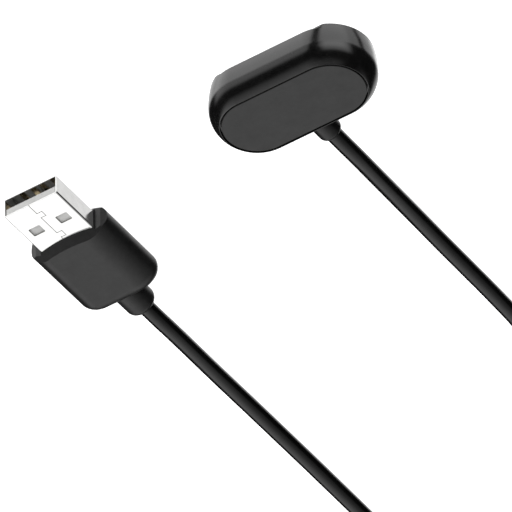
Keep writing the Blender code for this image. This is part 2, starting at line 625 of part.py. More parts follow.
def make_insulator():
    """White tongue under the shell's top face, with a block behind it that fills the shell."""
    half_width = SHELL_INNER_HALF_WIDTH - SIDE_GAP
    insulator = box("plug_insulator", (-half_width, INSULATOR_FRONT, -TONGUE_TOP),
                    (half_width, INSULATOR_REAR, TONGUE_TOP), PLUG, "white_plastic")
    gap = box("receptacle_gap", (-SHELL_WIDTH, -OVERSHOOT, -SHELL_HEIGHT),
              (SHELL_WIDTH, TONGUE_LENGTH, TONGUE_UNDERSIDE), PLUG)
    combine(insulator, gap)
    for name, centre, front in contact_places():
        channel = contact_channel(f"channel_of_{name}", centre, front - SIDE_GAP, INSULATOR_REAR + OVERSHOOT)
        combine(insulator, channel)


def make_contacts():
    """Four flat contacts along the tongue's underside; the outer two carry the power."""
    for name, centre, front in contact_places():
        low = (centre - CONTACT_WIDTH / 2, front, CONTACT_Z)
        high = (centre + CONTACT_WIDTH / 2, CONTACT_REAR, CONTACT_Z + CONTACT_THICKNESS)
        box(name, low, high, PLUG, "gold")


def make_inner_mould():
    """Moulded block behind the shell that holds the contacts' tails and the first stretch of the wires."""
    low = (-INNER_MOULD_HALF_WIDTH, INNER_MOULD_FRONT, -INNER_MOULD_HALF_HEIGHT)
    high = (INNER_MOULD_HALF_WIDTH, INNER_MOULD_REAR, INNER_MOULD_HALF_HEIGHT)
    block = box("plug_inner_mould", low, high, PLUG, "natural_plastic")
    for name, centre, _ in contact_places():
        front, rear = INNER_MOULD_FRONT - OVERSHOOT, CONTACT_REAR + 2 * SEAT_GAP
        combine(block, contact_channel(f"slot_of_{name}", centre, front, rear))
    for side in (-1, 1):
        start = (side * POWER_CONTACT_X, CONTACT_REAR, CONTACT_Z)
        rear = INNER_MOULD_REAR + OVERSHOOT
        combine(block, rod(f"wire_bore_{side}", WIRE_RADIUS + SIDE_GAP, start, rear, PLUG, True))


def make_plug_wires():
    """Two wires from the power contacts, drawn together and out through the strain relief."""
    room = WIRE_ROOM_END - WIRE_ROOM_START
    for side, name in ((-1, "plug_wire_red"), (1, "plug_wire_black")):
        route = [(side * POWER_CONTACT_X, CONTACT_REAR + CORD_GAP, CONTACT_Z),
                 (side * POWER_CONTACT_X, INNER_MOULD_REAR - OVERSHOOT, CONTACT_Z)]
        for share in (0.05, 0.28, 0.5, 0.72, 0.95):
            ease = share * share * (3 - 2 * share)
            reach = POWER_CONTACT_X + (WIRE_HALF_PITCH - POWER_CONTACT_X) * ease
            route.append((side * reach, WIRE_ROOM_START + room * share, CONTACT_Z * (1 - ease)))
        for place in (GRIP_REAR, RELIEF_END - SEAT_GAP):
            route.append((side * WIRE_HALF_PITCH, place, 0.0))
        material = "red_wire" if side < 0 else "black_wire"
        tube(name, smooth_route(route, WIRE_POINT_SPACING), WIRE_RADIUS, PLUG, material)


def rounded_grip():
    """Outer block of the overmould: long edges, rear and front each rounded in turn."""
    bm = bmesh.new()
    bmesh.ops.create_cube(bm, size=1.0)
    size = Vector((2 * GRIP_HALF_WIDTH, OVERMOULD_LENGTH, 2 * GRIP_HALF_HEIGHT))
    bmesh.ops.scale(bm, vec=size, verts=bm.verts)
    bmesh.ops.translate(bm, vec=(0.0, SHELL_EXPOSED + OVERMOULD_LENGTH / 2, 0.0), verts=bm.verts)
    along = [edge for edge in bm.edges if abs((edge.verts[0].co - edge.verts[1].co).y) > MERGE]
    bmesh.ops.bevel(bm, geom=along, offset=GRIP_SIDE_RADIUS, segments=5, profile=0.5, affect="EDGES")
    for end_y, width, steps in ((GRIP_REAR, GRIP_REAR_RADIUS, 4), (SHELL_EXPOSED, GRIP_FRONT_ROUNDING, 2)):
        rim = [edge for edge in bm.edges if all(abs(vert.co.y - end_y) < MERGE for vert in edge.verts)]
        bmesh.ops.bevel(bm, geom=rim, offset=width, segments=steps, profile=0.5, affect="EDGES")
    return mesh_from(bm, "plug_overmould")


def make_overmould():
    """Soft grip moulded over the shell's rear, with a short round strain relief behind it."""
    grip = add_piece("plug_overmould", rounded_grip(), PLUG, "soft_black")
    root_y = GRIP_REAR - OVERSHOOT
    end = quarter_round(RELIEF_RADIUS - RELIEF_ROUNDING, RELIEF_END - RELIEF_ROUNDING, RELIEF_ROUNDING, 90, 0)
    profile = [(0.0, RELIEF_END)] + end + [(RELIEF_RADIUS, root_y), (0.0, root_y)]
    combine(grip, turned("relief", profile, PLUG, (0.0, 0.0, 0.0), None, True, 24), "UNION")
    rooms = (("shell_room", SHELL_WIDTH / 2, SHELL_HEIGHT / 2, SHELL_EXPOSED - OVERSHOOT, SHELL_LENGTH),
             ("mould_room", INNER_MOULD_HALF_WIDTH, INNER_MOULD_HALF_HEIGHT, SHELL_LENGTH - OVERSHOOT,
              INNER_MOULD_REAR),
             ("wire_room", POWER_CONTACT_X + WIRE_RADIUS + WIRE_ROOM_MARGIN - SIDE_GAP,
              WIRE_RADIUS + WIRE_ROOM_MARGIN - SIDE_GAP, INNER_MOULD_REAR - OVERSHOOT, WIRE_ROOM_END))
    for name, half_width, half_height, front, rear in rooms:
        combine(grip, box(name, (-half_width - SIDE_GAP, front, -half_height - SIDE_GAP),
                          (half_width + SIDE_GAP, rear + SIDE_GAP, half_height + SIDE_GAP), PLUG))
    start = (0.0, WIRE_ROOM_END - OVERSHOOT, 0.0)
    combine(grip, rod("cord_bore", WIRE_BORE_RADIUS, start, RELIEF_END + OVERSHOOT, PLUG, True))


# Cord

def make_cord():
    """Two plain runs and one ring for the coiled length."""
    dock_end = (0.0, GROMMET_END + CORD_GAP, GROMMET_Z)
    plug_end = (PLUG_X, PLUG_NOSE_Y + RELIEF_END + CORD_GAP, GRIP_HALF_HEIGHT)
    for name, end, run in (("cord_dock_run", dock_end, DOCK_RUN), ("cord_plug_run", plug_end, PLUG_RUN)):
        route = [end] + [[value * MM for value in point] for point in run]
        tube(name, smooth_route(route, CORD_POINT_SPACING), CORD_RADIUS, None, "cord_black")
    low, high = COIL_BASE_Z, COIL_BASE_Z + COIL_HEIGHT
    ring = []
    for radius, height, start in ((COIL_OUTER_RADIUS - COIL_ROUNDING, high - COIL_ROUNDING, 90),
                                  (COIL_OUTER_RADIUS - COIL_ROUNDING, low + COIL_ROUNDING, 0),
                                  (COIL_INNER_RADIUS + COIL_ROUNDING, low + COIL_ROUNDING, -90),
                                  (COIL_INNER_RADIUS + COIL_ROUNDING, high - COIL_ROUNDING, -180)):
        ring += quarter_round(radius, height, COIL_ROUNDING, start, start - 90, 3)
    turned_ring("cord_coil", ring, COIL, (0.0, 0.0, 0.0), "cord_black", False, COIL_STEPS)


def make_tie():
    """Flat band looped round the coil on the side away from the dock."""
    inner = (COIL_INNER_RADIUS - CORD_GAP, COIL_OUTER_RADIUS + CORD_GAP)
    top = COIL_BASE_Z + COIL_HEIGHT + CORD_GAP
    band = box("cord_tie", (-TIE_WIDTH / 2, inner[0] - TIE_THICKNESS, 0.0),
               (TIE_WIDTH / 2, inner[1] + TIE_THICKNESS, top + TIE_THICKNESS), COIL, "tie_black")
    combine(band, box("tie_inside", (-TIE_WIDTH, inner[0], TIE_THICKNESS),
                      (TIE_WIDTH, inner[1], top), COIL))


def main():
    """Build the dock, the plug and the cord between them."""
    make_dock_body()
    make_base_plate()
    make_grommet()
    make_pin_carrier()
    make_magnets()
    make_yoke()
    make_board()
    for side, label in ((-1, "left"), (1, "right")):
        make_spring_contact(side, label)
    make_dock_wires()
    make_shell()
    make_insulator()
    make_contacts()
    make_inner_mould()
    make_plug_wires()
    make_overmould()
    make_cord()
    make_tie()


main()
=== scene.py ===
"""Charging lead for a fitness tracker: pill-shaped dock, thin round cord and flat metal-shelled plug.

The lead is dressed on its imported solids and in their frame. Lengths are in metres, +Z is up, and the
lead lies on Z = 0 with the dock's charging face down. The cord leaves the dock and the plug along +Y.
"""
from __future__ import annotations

import logging
import math
from contextlib import contextmanager
from dataclasses import dataclass
from enum import Enum
from typing import Callable, Iterator, Sequence

import bmesh
import bpy
from mathutils import Matrix, Vector


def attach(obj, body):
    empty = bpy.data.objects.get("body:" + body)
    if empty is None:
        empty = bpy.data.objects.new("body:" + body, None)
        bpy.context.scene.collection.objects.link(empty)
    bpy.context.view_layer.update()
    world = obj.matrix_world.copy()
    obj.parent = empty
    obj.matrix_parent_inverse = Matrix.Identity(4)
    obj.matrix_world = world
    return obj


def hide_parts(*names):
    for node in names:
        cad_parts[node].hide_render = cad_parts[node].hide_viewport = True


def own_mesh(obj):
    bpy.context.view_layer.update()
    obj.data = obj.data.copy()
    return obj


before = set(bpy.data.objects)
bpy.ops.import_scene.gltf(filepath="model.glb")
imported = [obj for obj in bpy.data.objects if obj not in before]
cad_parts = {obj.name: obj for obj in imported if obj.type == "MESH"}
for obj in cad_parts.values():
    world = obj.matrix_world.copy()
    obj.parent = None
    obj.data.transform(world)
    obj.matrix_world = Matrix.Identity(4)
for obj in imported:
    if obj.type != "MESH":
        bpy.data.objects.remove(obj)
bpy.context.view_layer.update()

MM = 0.001
MERGE = 0.001 * MM
FULL_TURN = 2 * math.pi
HALF_TURN = 180.0
WAVES_PER_SCALE = 3.2
UP = (0.0, 0.0, 1.0)
BACK = (0.0, 1.0, 0.0)
CORD_RADIUS = 1.65 * MM
CORD_SOCKET = 1.68 * MM
SOCKET_DEPTH = 0.9 * MM
LOG = logging.getLogger("charging_lead")

Object = bpy.types.Object
Material = bpy.types.Material
Socket = bpy.types.NodeSocket
Point = Sequence[float]
Pair = tuple[float, float]
Triple = tuple[float, float, float]
Profile = list[Pair]


class Slot(Enum):
    """The record's material slots."""

    GLOSS_BLACK = "gloss_black"
    MATT_GREY = "matt_grey"
    SOFT_BLACK = "soft_black"
    CORD_BLACK = "cord_black"
    NICKEL = "nickel"
    WHITE_PLASTIC = "white_plastic"
    NATURAL_PLASTIC = "natural_plastic"
    GOLD = "gold"
    SPRING_STEEL = "spring_steel"
    MAGNET = "magnet"
    YOKE_STEEL = "yoke_steel"
    BOARD_GREEN = "board_green"
    RED_WIRE = "red_wire"
    BLACK_WIRE = "black_wire"
    TIE_BLACK = "tie_black"


class Body(Enum):
    """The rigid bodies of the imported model."""

    LEAD = "lead"
    PLUNGER_LEFT = "plunger_left"
    PLUNGER_RIGHT = "plunger_right"


# Finishes

class NodeSheet:
    """Node tree of one material, with its shader and object coordinates ready."""

    def __init__(self, name: str) -> None:
        """Start a material.

        Args:
            name: The material's name.
        """
        self.material = bpy.data.materials.new(name)
        self.material.use_nodes = True
        self.tree = self.material.node_tree
        self.shader = self.tree.nodes["Principled BSDF"]
        self.place = self.add("ShaderNodeTexCoord").outputs["Object"]

    def add(self, kind: str, **settings: object) -> bpy.types.Node:
        """Add a node.

        Args:
            kind: The node's type name.
            **settings: Values for the node's own properties.

        Returns:
            The new node.
        """
        node = self.tree.nodes.new(kind)
        for name, value in settings.items():
            setattr(node, name, value)
        return node

    def link(self, source: Socket, target: Socket) -> None:
        """Join an output to an input."""
        self.tree.links.new(source, target)

    def stretched(self, scale: Point) -> Socket:
        """Coordinates scaled differently along each axis.

        Args:
            scale: The scale along X, Y and Z.

        Returns:
            The scaled coordinates.
        """
        mapping = self.add("ShaderNodeMapping")
        mapping.inputs["Scale"].default_value = scale
        self.link(self.place, mapping.inputs["Vector"])
        return mapping.outputs["Vector"]

    def noise(self, per_mm: float, detail: float, place: Socket | None = None) -> Socket:
        """Fractal noise.

        Args:
            per_mm: Features to the millimetre.
            detail: Octaves of finer noise.
            place: Coordinates to read, or the object's own.

        Returns:
            The noise factor.
        """
        noise = self.add("ShaderNodeTexNoise")
        noise.inputs["Scale"].default_value = per_mm / MM
        noise.inputs["Detail"].default_value = detail
        self.link(place or self.place, noise.inputs["Vector"])
        return noise.outputs["Fac"]

    def ranged(self, source: Socket, low: float, high: float,
               start: float = 0.3, end: float = 0.7) -> Socket:
        """Noise brought between two values.

        Args:
            source: The factor to read.
            low: Result at start.
            high: Result at end.
            start: Factor that gives low.
            end: Factor that gives high.

        Returns:
            The new value.
        """
        span = self.add("ShaderNodeMapRange")
        for name, value in (("From Min", start), ("From Max", end), ("To Min", low), ("To Max", high)):
            span.inputs[name].default_value = value
        self.link(source, span.inputs["Value"])
        return span.outputs["Result"]

    def blend(self, factor: Socket, first: Point, second: Point,
              start: float = 0.35, end: float = 0.65) -> Socket:
        """A colour between two others.

        Args:
            factor: What chooses between them.
            first: Colour at start.
            second: Colour at end.
            start: Factor that gives the first.
            end: Factor that gives the second.

        Returns:
            The colour.
        """
        ramp = self.add("ShaderNodeValToRGB")
        ramp.color_ramp.elements[0].position = start
        ramp.color_ramp.elements[0].color = (*first, 1.0)
        ramp.color_ramp.elements[1].position = end
        ramp.color_ramp.elements[1].color = (*second, 1.0)
        self.link(factor, ramp.inputs["Fac"])
        return ramp.outputs["Color"]

    def emboss(self, *heights: tuple[Socket, float]) -> None:
        """Raise the surface by one or more heights, each with its depth in metres."""
        normal = None
        for height, depth in heights:
            bump = self.add("ShaderNodeBump")
            bump.inputs["Distance"].default_value = depth
            self.link(height, bump.inputs["Height"])
            if normal:
                self.link(normal, bump.inputs["Normal"])
            normal = bump.outputs["Normal"]
        self.link(normal, self.shader.inputs["Normal"])

    def set(self, **values: object) -> None:
        """Set the shader's own sockets, named in lower case with underscores."""
        for name, value in values.items():
            socket = next(s for s in self.shader.inputs if s.name.lower().replace(" ", "_") == name)
            socket.default_value = value

    def tint(self, colour: Socket) -> None:
        """Drive the base colour."""
        self.link(colour, self.shader.inputs["Base Color"])

    def gloss(self, roughness: Socket) -> None:
        """Drive the roughness."""
        self.link(roughness, self.shader.inputs["Roughness"])


@dataclass(frozen=True)
class Moulded:
    """Moulded plastic or elastomer: a faint mottle, uneven gloss and the mould's fine grain."""

    slot: Slot
    colour: Triple
    mottle: Triple
    roughness: Pair
    grain_per_mm: float
    grain_depth: float
    ior: float = 1.45
    coat: float = 0.0
    coat_roughness: float = 0.12
    mottle_per_mm: float = 0.9
    gloss_per_mm: float = 0.35
    coarser: float = 6.0

    def material(self) -> Material:
        """Make the material."""
        sheet = NodeSheet(self.slot.value)
        sheet.tint(sheet.blend(sheet.noise(self.mottle_per_mm, detail=4.0), self.colour, self.mottle))
        sheet.gloss(sheet.ranged(sheet.noise(self.gloss_per_mm, detail=3.0), *self.roughness))
        sheet.emboss((sheet.noise(self.grain_per_mm, detail=3.0), self.grain_depth),
                     (sheet.noise(self.grain_per_mm / self.coarser, detail=1.0), self.grain_depth))
        sheet.set(ior=self.ior, coat_weight=self.coat, coat_roughness=self.coat_roughness)
        return sheet.material


@dataclass(frozen=True)
class Metal:
    """Plated or drawn metal with fine lines along one axis."""

    slot: Slot
    colour: Triple
    shade: Triple
    roughness: Pair
    lines: Triple
    depth: float
    lines_per_mm: float = 6.0
    shade_per_mm: float = 0.5

    def material(self) -> Material:
        """Make the material."""
        sheet = NodeSheet(self.slot.value)
        drawn = sheet.noise(self.lines_per_mm, detail=4.0, place=sheet.stretched(self.lines))
        sheet.tint(sheet.blend(sheet.noise(self.shade_per_mm, detail=3.0), self.colour, self.shade))
        sheet.gloss(sheet.ranged(drawn, *self.roughness))
        sheet.emboss((drawn, self.depth))
        sheet.set(metallic=1.0)
        return sheet.material


@dataclass(frozen=True)
class CircuitBoard:
    """Glass-fibre board: green mask with raised tracks and its weave under it."""

    slot: Slot = Slot.BOARD_GREEN
    mask: Triple = (0.012, 0.11, 0.045)
    track: Triple = (0.03, 0.2, 0.08)
    tracks_per_mm: float = 0.9
    track_width: float = 0.07
    roughness: Pair = (0.22, 0.4)
    weave: Triple = (1.0, 4.0, 1.0)
    weave_per_mm: float = 9.0
    weave_depth: float = 0.004 * MM

    def material(self) -> Material:
        """Make the material."""
        sheet = NodeSheet(self.slot.value)
        tracks = sheet.add("ShaderNodeTexBrick")
        tracks.inputs["Scale"].default_value = self.tracks_per_mm / MM
        tracks.inputs["Mortar Size"].default_value = self.track_width
        for name, level in (("Color1", 0.0), ("Color2", 0.15), ("Mortar", 1.0)):
            tracks.inputs[name].default_value = (level, level, level, 1.0)
        sheet.link(sheet.place, tracks.inputs["Vector"])
        sheet.tint(sheet.blend(tracks.outputs["Color"], self.mask, self.track, 0.2, 0.8))
        sheet.gloss(sheet.ranged(sheet.noise(2.0, detail=3.0), *self.roughness))
        weave = sheet.noise(self.weave_per_mm, detail=2.0, place=sheet.stretched(self.weave))
        sheet.emboss((weave, self.weave_depth))
        sheet.set(coat_weight=0.3, coat_roughness=0.2)
        return sheet.material


@dataclass(frozen=True)
class WovenBand:
    """Flat woven band with fine ribs across it, with painted shade in the valleys between the ribs."""

    slot: Slot = Slot.TIE_BLACK
    valley_shade: Triple = (0.006, 0.006, 0.006)
    rib: Triple = (0.035, 0.035, 0.036)
    rib_pitch: float = 0.42 * MM
    rib_depth: float = 0.03 * MM
    unevenness: float = 0.6
    finer: float = 1.6
    roughness: Pair = (0.6, 0.85)

    def material(self) -> Material:
        """Make the material."""
        sheet = NodeSheet(self.slot.value)
        heights = []
        for direction, share in (("X", 1.0), ("Y", self.finer), ("Z", self.finer)):
            wave = sheet.add("ShaderNodeTexWave", bands_direction=direction)
            wave.inputs["Scale"].default_value = share / self.rib_pitch / WAVES_PER_SCALE
            wave.inputs["Distortion"].default_value = self.unevenness
            sheet.link(sheet.place, wave.inputs["Vector"])
            heights.append(wave.outputs["Fac"])
        # Painted shade: the colour follows the rib height and is darker in the valleys.
        sheet.tint(sheet.blend(heights[0], self.valley_shade, self.rib, 0.1, 0.9))
        sheet.gloss(sheet.ranged(heights[1], *self.roughness))
        sheet.emboss(*((height, self.rib_depth) for height in heights))
        sheet.set(specular_ior_level=0.2)
        return sheet.material


def grey(level: float) -> Triple:
    """A grey of one level in all three channels."""
    return level, level, level


EVEN = (1.0, 1.0, 1.0)
FINISHES = (
    Moulded(Slot.GLOSS_BLACK, grey(0.003), grey(0.005), (0.17, 0.23), 5.0, 0.0012 * MM, ior=1.5, coat=0.45),
    Moulded(Slot.MATT_GREY, grey(0.008), grey(0.011), (0.32, 0.4), 9.0, 0.006 * MM, ior=1.42),
    Moulded(Slot.SOFT_BLACK, grey(0.004), grey(0.007), (0.3, 0.36), 7.0, 0.004 * MM, ior=1.4),
    Moulded(Slot.CORD_BLACK, grey(0.0015), grey(0.003), (0.19, 0.24), 5.0, 0.002 * MM, ior=1.42),
    Moulded(Slot.WHITE_PLASTIC, (0.5, 0.5, 0.49), (0.55, 0.55, 0.54), (0.34, 0.46), 6.0, 0.004 * MM),
    Moulded(Slot.NATURAL_PLASTIC, (0.56, 0.55, 0.5), (0.66, 0.65, 0.6), (0.4, 0.52), 6.0, 0.005 * MM),
    Moulded(Slot.RED_WIRE, (0.42, 0.012, 0.012), (0.52, 0.025, 0.02), (0.32, 0.45), 8.0, 0.004 * MM),
    Moulded(Slot.BLACK_WIRE, grey(0.012), grey(0.022), (0.32, 0.45), 8.0, 0.004 * MM),
    Metal(Slot.NICKEL, (0.76, 0.76, 0.75), (0.8, 0.8, 0.79), (0.09, 0.17), (1.0, 0.12, 1.0), 0.0006 * MM),
    Metal(Slot.GOLD, (0.66, 0.54, 0.34), (0.56, 0.45, 0.27), (0.14, 0.26), (1.0, 0.2, 1.0), 0.001 * MM),
    Metal(Slot.SPRING_STEEL, (0.56, 0.55, 0.53), (0.46, 0.45, 0.44), (0.2, 0.34), EVEN, 0.001 * MM),
    Metal(Slot.MAGNET, (0.68, 0.67, 0.65), (0.6, 0.59, 0.57), (0.14, 0.26), EVEN, 0.001 * MM),
    Metal(Slot.YOKE_STEEL, (0.5, 0.49, 0.47), (0.4, 0.39, 0.38), (0.28, 0.45), (0.15, 1.0, 1.0), 0.002 * MM),
    CircuitBoard(),
    WovenBand(),
)


# Modelling

class Maker:
    """Modelling steps that the sub-assemblies share, and the dressing of a finished piece."""

    sharp = 40.0

    def __init__(self, materials: dict[Slot, Material]) -> None:
        """Keep the finishes.

        Args:
            materials: One material to each slot.
        """
        self.materials = materials
        self.made: dict[str, Object] = {}

    def start(self, add: Callable[..., object], name: str, **where: object) -> Object:
        """Add a primitive at its size and place.

        Args:
            add: The operator that adds it.
            name: The piece's name.
            **where: The operator's own settings.

        Returns:
            The new object, with its place in its mesh.
        """
        bpy.ops.object.select_all(action="DESELECT")
        add(**where)
        piece = bpy.context.object
        piece.name = piece.data.name = name
        bpy.ops.object.transform_apply(location=True, rotation=True, scale=True)
        return piece

    def block(self, name: str, low: Point, high: Point) -> Object:
        """A cube stretched between two corners."""
        low, high = Vector(low), Vector(high)
        return self.start(bpy.ops.mesh.primitive_cube_add, name, size=1.0, location=(low + high) / 2,
                          scale=high - low)

    def rounded(self, name: str, low: Point, high: Point, axis: int, radius: float, segments: int) -> Object:
        """A block with its four edges along one axis rounded.

        Args:
            name: The piece's name.
            low: Its lowest corner.
            high: Its highest corner.
            axis: 0, 1 or 2, the way that the rounded edges run.
            radius: Their radius.
            segments: Facets in each of them.

        Returns:
            The block.
        """
        piece = self.block(name, low, high)
        with self.editing(piece, "EDGE"):
            self.pick(piece, "edges", lambda edge: abs(edge.verts[0].co[axis] - edge.verts[1].co[axis]) > MM)
            bpy.ops.mesh.bevel(offset=radius, segments=segments, profile=0.5)
        return piece

    def drill(self, piece: Object, radius: float, start: Point, end: Point, sides: int = 48) -> None:
        """Cut a round hole from one point to another."""
        start, end = Vector(start), Vector(end)
        turn = (end - start).to_track_quat("Z", "Y").to_euler()
        rod = self.start(bpy.ops.mesh.primitive_cylinder_add, "rod", vertices=sides, radius=radius,
                         depth=(end - start).length, location=(start + end) / 2, rotation=turn)
        self.combine(piece, rod)

    @staticmethod
    def choose(piece: Object) -> None:
        """Select one piece alone and make it active."""
        bpy.ops.object.select_all(action="DESELECT")
        piece.select_set(True)
        bpy.context.view_layer.objects.active = piece

    @contextmanager
    def editing(self, piece: Object, mode: str) -> Iterator[None]:
        """Work in edit mode on one piece, with all of it selected at first.

        Args:
            piece: The object to edit.
            mode: VERT, EDGE or FACE.

        Yields:
            Nothing.
        """
        self.choose(piece)
        bpy.ops.object.mode_set(mode="EDIT")
        bpy.ops.mesh.select_mode(type=mode)
        bpy.ops.mesh.select_all(action="SELECT")
        yield
        bpy.ops.object.mode_set(mode="OBJECT")

    def pick(self, piece: Object, kind: str, test: Callable[[object], bool]) -> None:
        """Select only the vertices, edges or faces that pass a test.

        Args:
            piece: The object in edit mode.
            kind: verts, edges or faces.
            test: Says whether one of them is wanted.
        """
        bpy.ops.mesh.select_all(action="DESELECT")
        mesh = bmesh.from_edit_mesh(piece.data)
        for item in getattr(mesh, kind):
            if test(item):
                item.select_set(True)
        mesh.select_flush_mode()
        bmesh.update_edit_mesh(piece.data)

    @staticmethod
    def extrude(by: Point) -> None:
        """Extrude what is selected in edit mode."""
        bpy.ops.mesh.extrude_region_move(TRANSFORM_OT_translate={"value": by})

    @staticmethod
    def face_out() -> None:
        """Turn all faces of the mesh in edit mode outwards."""
        bpy.ops.mesh.select_all(action="SELECT")
        bpy.ops.mesh.normals_make_consistent(inside=False)

    def outline(self, name: str, points: Sequence[Point]) -> Object:
        """Draw a line of edges by extruding one vertex from point to point.

        Args:
            name: The piece's name.
            points: Where the line goes.

        Returns:
            The line of edges.
        """
        points = [Vector(point) for point in points]
        piece = self.start(bpy.ops.mesh.primitive_plane_add, name, size=MM, location=points[0])
        with self.editing(piece, "VERT"):
            bpy.ops.mesh.merge(type="CENTER")
            for before, after in zip(points, points[1:]):
                self.extrude(after - before)
        return piece

    def prism(self, name: str, points: Sequence[Point], by: Point) -> Object:
        """Close an outline, fill it and extrude it.

        Args:
            name: The piece's name.
            points: The outline's corners.
            by: Length and direction of the extrusion.

        Returns:
            The solid.
        """
        piece = self.outline(name, [*points, points[0]])
        with self.editing(piece, "EDGE"):
            bpy.ops.mesh.remove_doubles(threshold=MERGE)
            bpy.ops.mesh.edge_face_add()
            self.extrude(by)
            self.face_out()
        return piece

    def clean(self, piece: Object) -> None:
        """Merge doubles and turn the faces outwards."""
        with self.editing(piece, "VERT"):
            bpy.ops.mesh.remove_doubles(threshold=MERGE)
            bpy.ops.mesh.dissolve_degenerate(threshold=MERGE / 2)
            self.face_out()

    def lathe(self, name: str, profile: Profile, centre: Point, along: Point, steps: int = 64) -> Object:
        """Turn a profile of (radius, height) about an axis.

        Args:
            name: The piece's name.
            profile: Points along one side, from the axis to the axis, or closed round a bore.
            centre: Where height 0 lies on the axis.
            along: The axis's direction.
            steps: Facets in a full turn.

        Returns:
            The turned piece.
        """
        centre, along = Vector(centre), Vector(along).normalized()
        side = along.orthogonal().normalized()
        piece = self.outline(name, [centre + side * radius + along * height for radius, height in profile])
        with self.editing(piece, "EDGE"):
            bpy.ops.mesh.spin(steps=steps, angle=FULL_TURN, center=centre, axis=along)
        self.clean(piece)
        return piece

    def pill(self, name: str, profile: Profile, half_straight: float, steps: int = 56) -> Object:
        """Turn a profile about one round end, carry it straight to the middle and mirror it.

        Args:
            name: The piece's name.
            profile: (radius, height) points from the axis to the axis.
            half_straight: From the middle to the centre of a round end.
            steps: Facets in the half turn.

        Returns:
            The pill-shaped piece.
        """
        piece = self.outline(name, [(half_straight, radius, height) for radius, height in profile])
        with self.editing(piece, "EDGE"):
            bpy.ops.mesh.spin(steps=steps, angle=math.pi, center=(half_straight, 0.0, 0.0), axis=UP)
            self.pick(piece, "edges", lambda edge: edge.is_boundary)
            self.extrude((-half_straight, 0.0, 0.0))
        if max(vertex.co.x for vertex in piece.data.vertices) < half_straight + MM:
            raise ValueError(f"{name} was turned the wrong way")
        self.modify(piece, "MIRROR", use_axis=(True, False, False), merge_threshold=MERGE)
        self.clean(piece)
        return piece

    def modify(self, piece: Object, kind: str, **settings: object) -> None:
        """Add a modifier and apply it.

        Args:
            piece: The object to change.
            kind: The modifier's type.
            **settings: Its settings.
        """
        modifier = piece.modifiers.new(kind.lower(), kind)
        for name, value in settings.items():
            setattr(modifier, name, value)
        self.choose(piece)
        bpy.ops.object.modifier_apply(modifier=modifier.name)

    def combine(self, piece: Object, tool: Object, operation: str = "DIFFERENCE") -> None:
        """Cut a piece with a tool, or join it, and drop the tool."""
        self.modify(piece, "BOOLEAN", operation=operation, object=tool, solver="EXACT")
        bpy.data.objects.remove(tool)

    def soften(self, piece: Object, width: float, segments: int = 2, angle: float = 42.0) -> None:
        """Round every edge that is sharper than an angle in degrees."""
        self.modify(piece, "BEVEL", width=width, segments=segments, limit_method="ANGLE",
                    angle_limit=math.radians(angle), use_clamp_overlap=True)

    def dress(self, piece: Object, slot: Slot, body: Body = Body.LEAD, replaces: Sequence[str] = (),
              smooth: float = 32.0) -> Object:
        """Shade, finish and place a piece in the frame.

        Args:
            piece: The finished shape.
            slot: Its finish.
            body: The body that it moves with.
            replaces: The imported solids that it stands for.
            smooth: Edges sharper than this many degrees stay sharp.

        Returns:
            The same piece.
        """
        piece.data.materials.clear()
        piece.data.materials.append(self.materials[slot])
        if piece.type == "MESH":
            self.choose(piece)
            bpy.ops.object.shade_smooth_by_angle(angle=math.radians(smooth))
            self.modify(piece, "WEIGHTED_NORMAL", keep_sharp=True)
        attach(piece, body.value)
        if replaces:
            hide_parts(*replaces)
        self.made[piece.name] = piece
        LOG.info("%s: %s on %s", piece.name, slot.value, body.value)
        return piece

    def keep(self, *rows: tuple[str, Slot, float]) -> None:
        """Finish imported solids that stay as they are.

        Args:
            *rows: Each solid's name, its finish and the radius of its rounded edges, or 0 to leave them.
        """
        for node, slot, edge in rows:
            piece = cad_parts[node]
            piece.data.materials.clear()
            piece.data.materials.append(self.materials[slot])
            if edge:
                piece.modifiers.new("weld", "WELD").merge_threshold = MERGE
                bevel = piece.modifiers.new("edges", "BEVEL")
                bevel.width = edge
                bevel.segments = 2
                bevel.limit_method = "ANGLE"
                bevel.angle_limit = math.radians(self.sharp)
            self.made[node] = piece
            LOG.info("%s: %s, kept", node, slot.value)


def arc(centre: Pair, radius: float, start: float, end: float, steps: int,
        rise: float | None = None) -> Profile:
    """(radius, height) points along an arc.

    Args:
        centre: The arc's centre.
        radius: Its radius.
        start: First angle in degrees.
        end: Last angle in degrees.
        steps: How many pieces the arc is cut into.
        rise: Its radius in the second direction, if that is another.

    Returns:
        The points.
    """
    angles = [math.radians(start + (end - start) * i / steps) for i in range(steps + 1)]
    rise = radius if rise is None else rise
    return [(centre[0] + radius * math.cos(a), centre[1] + rise * math.sin(a)) for a in angles]


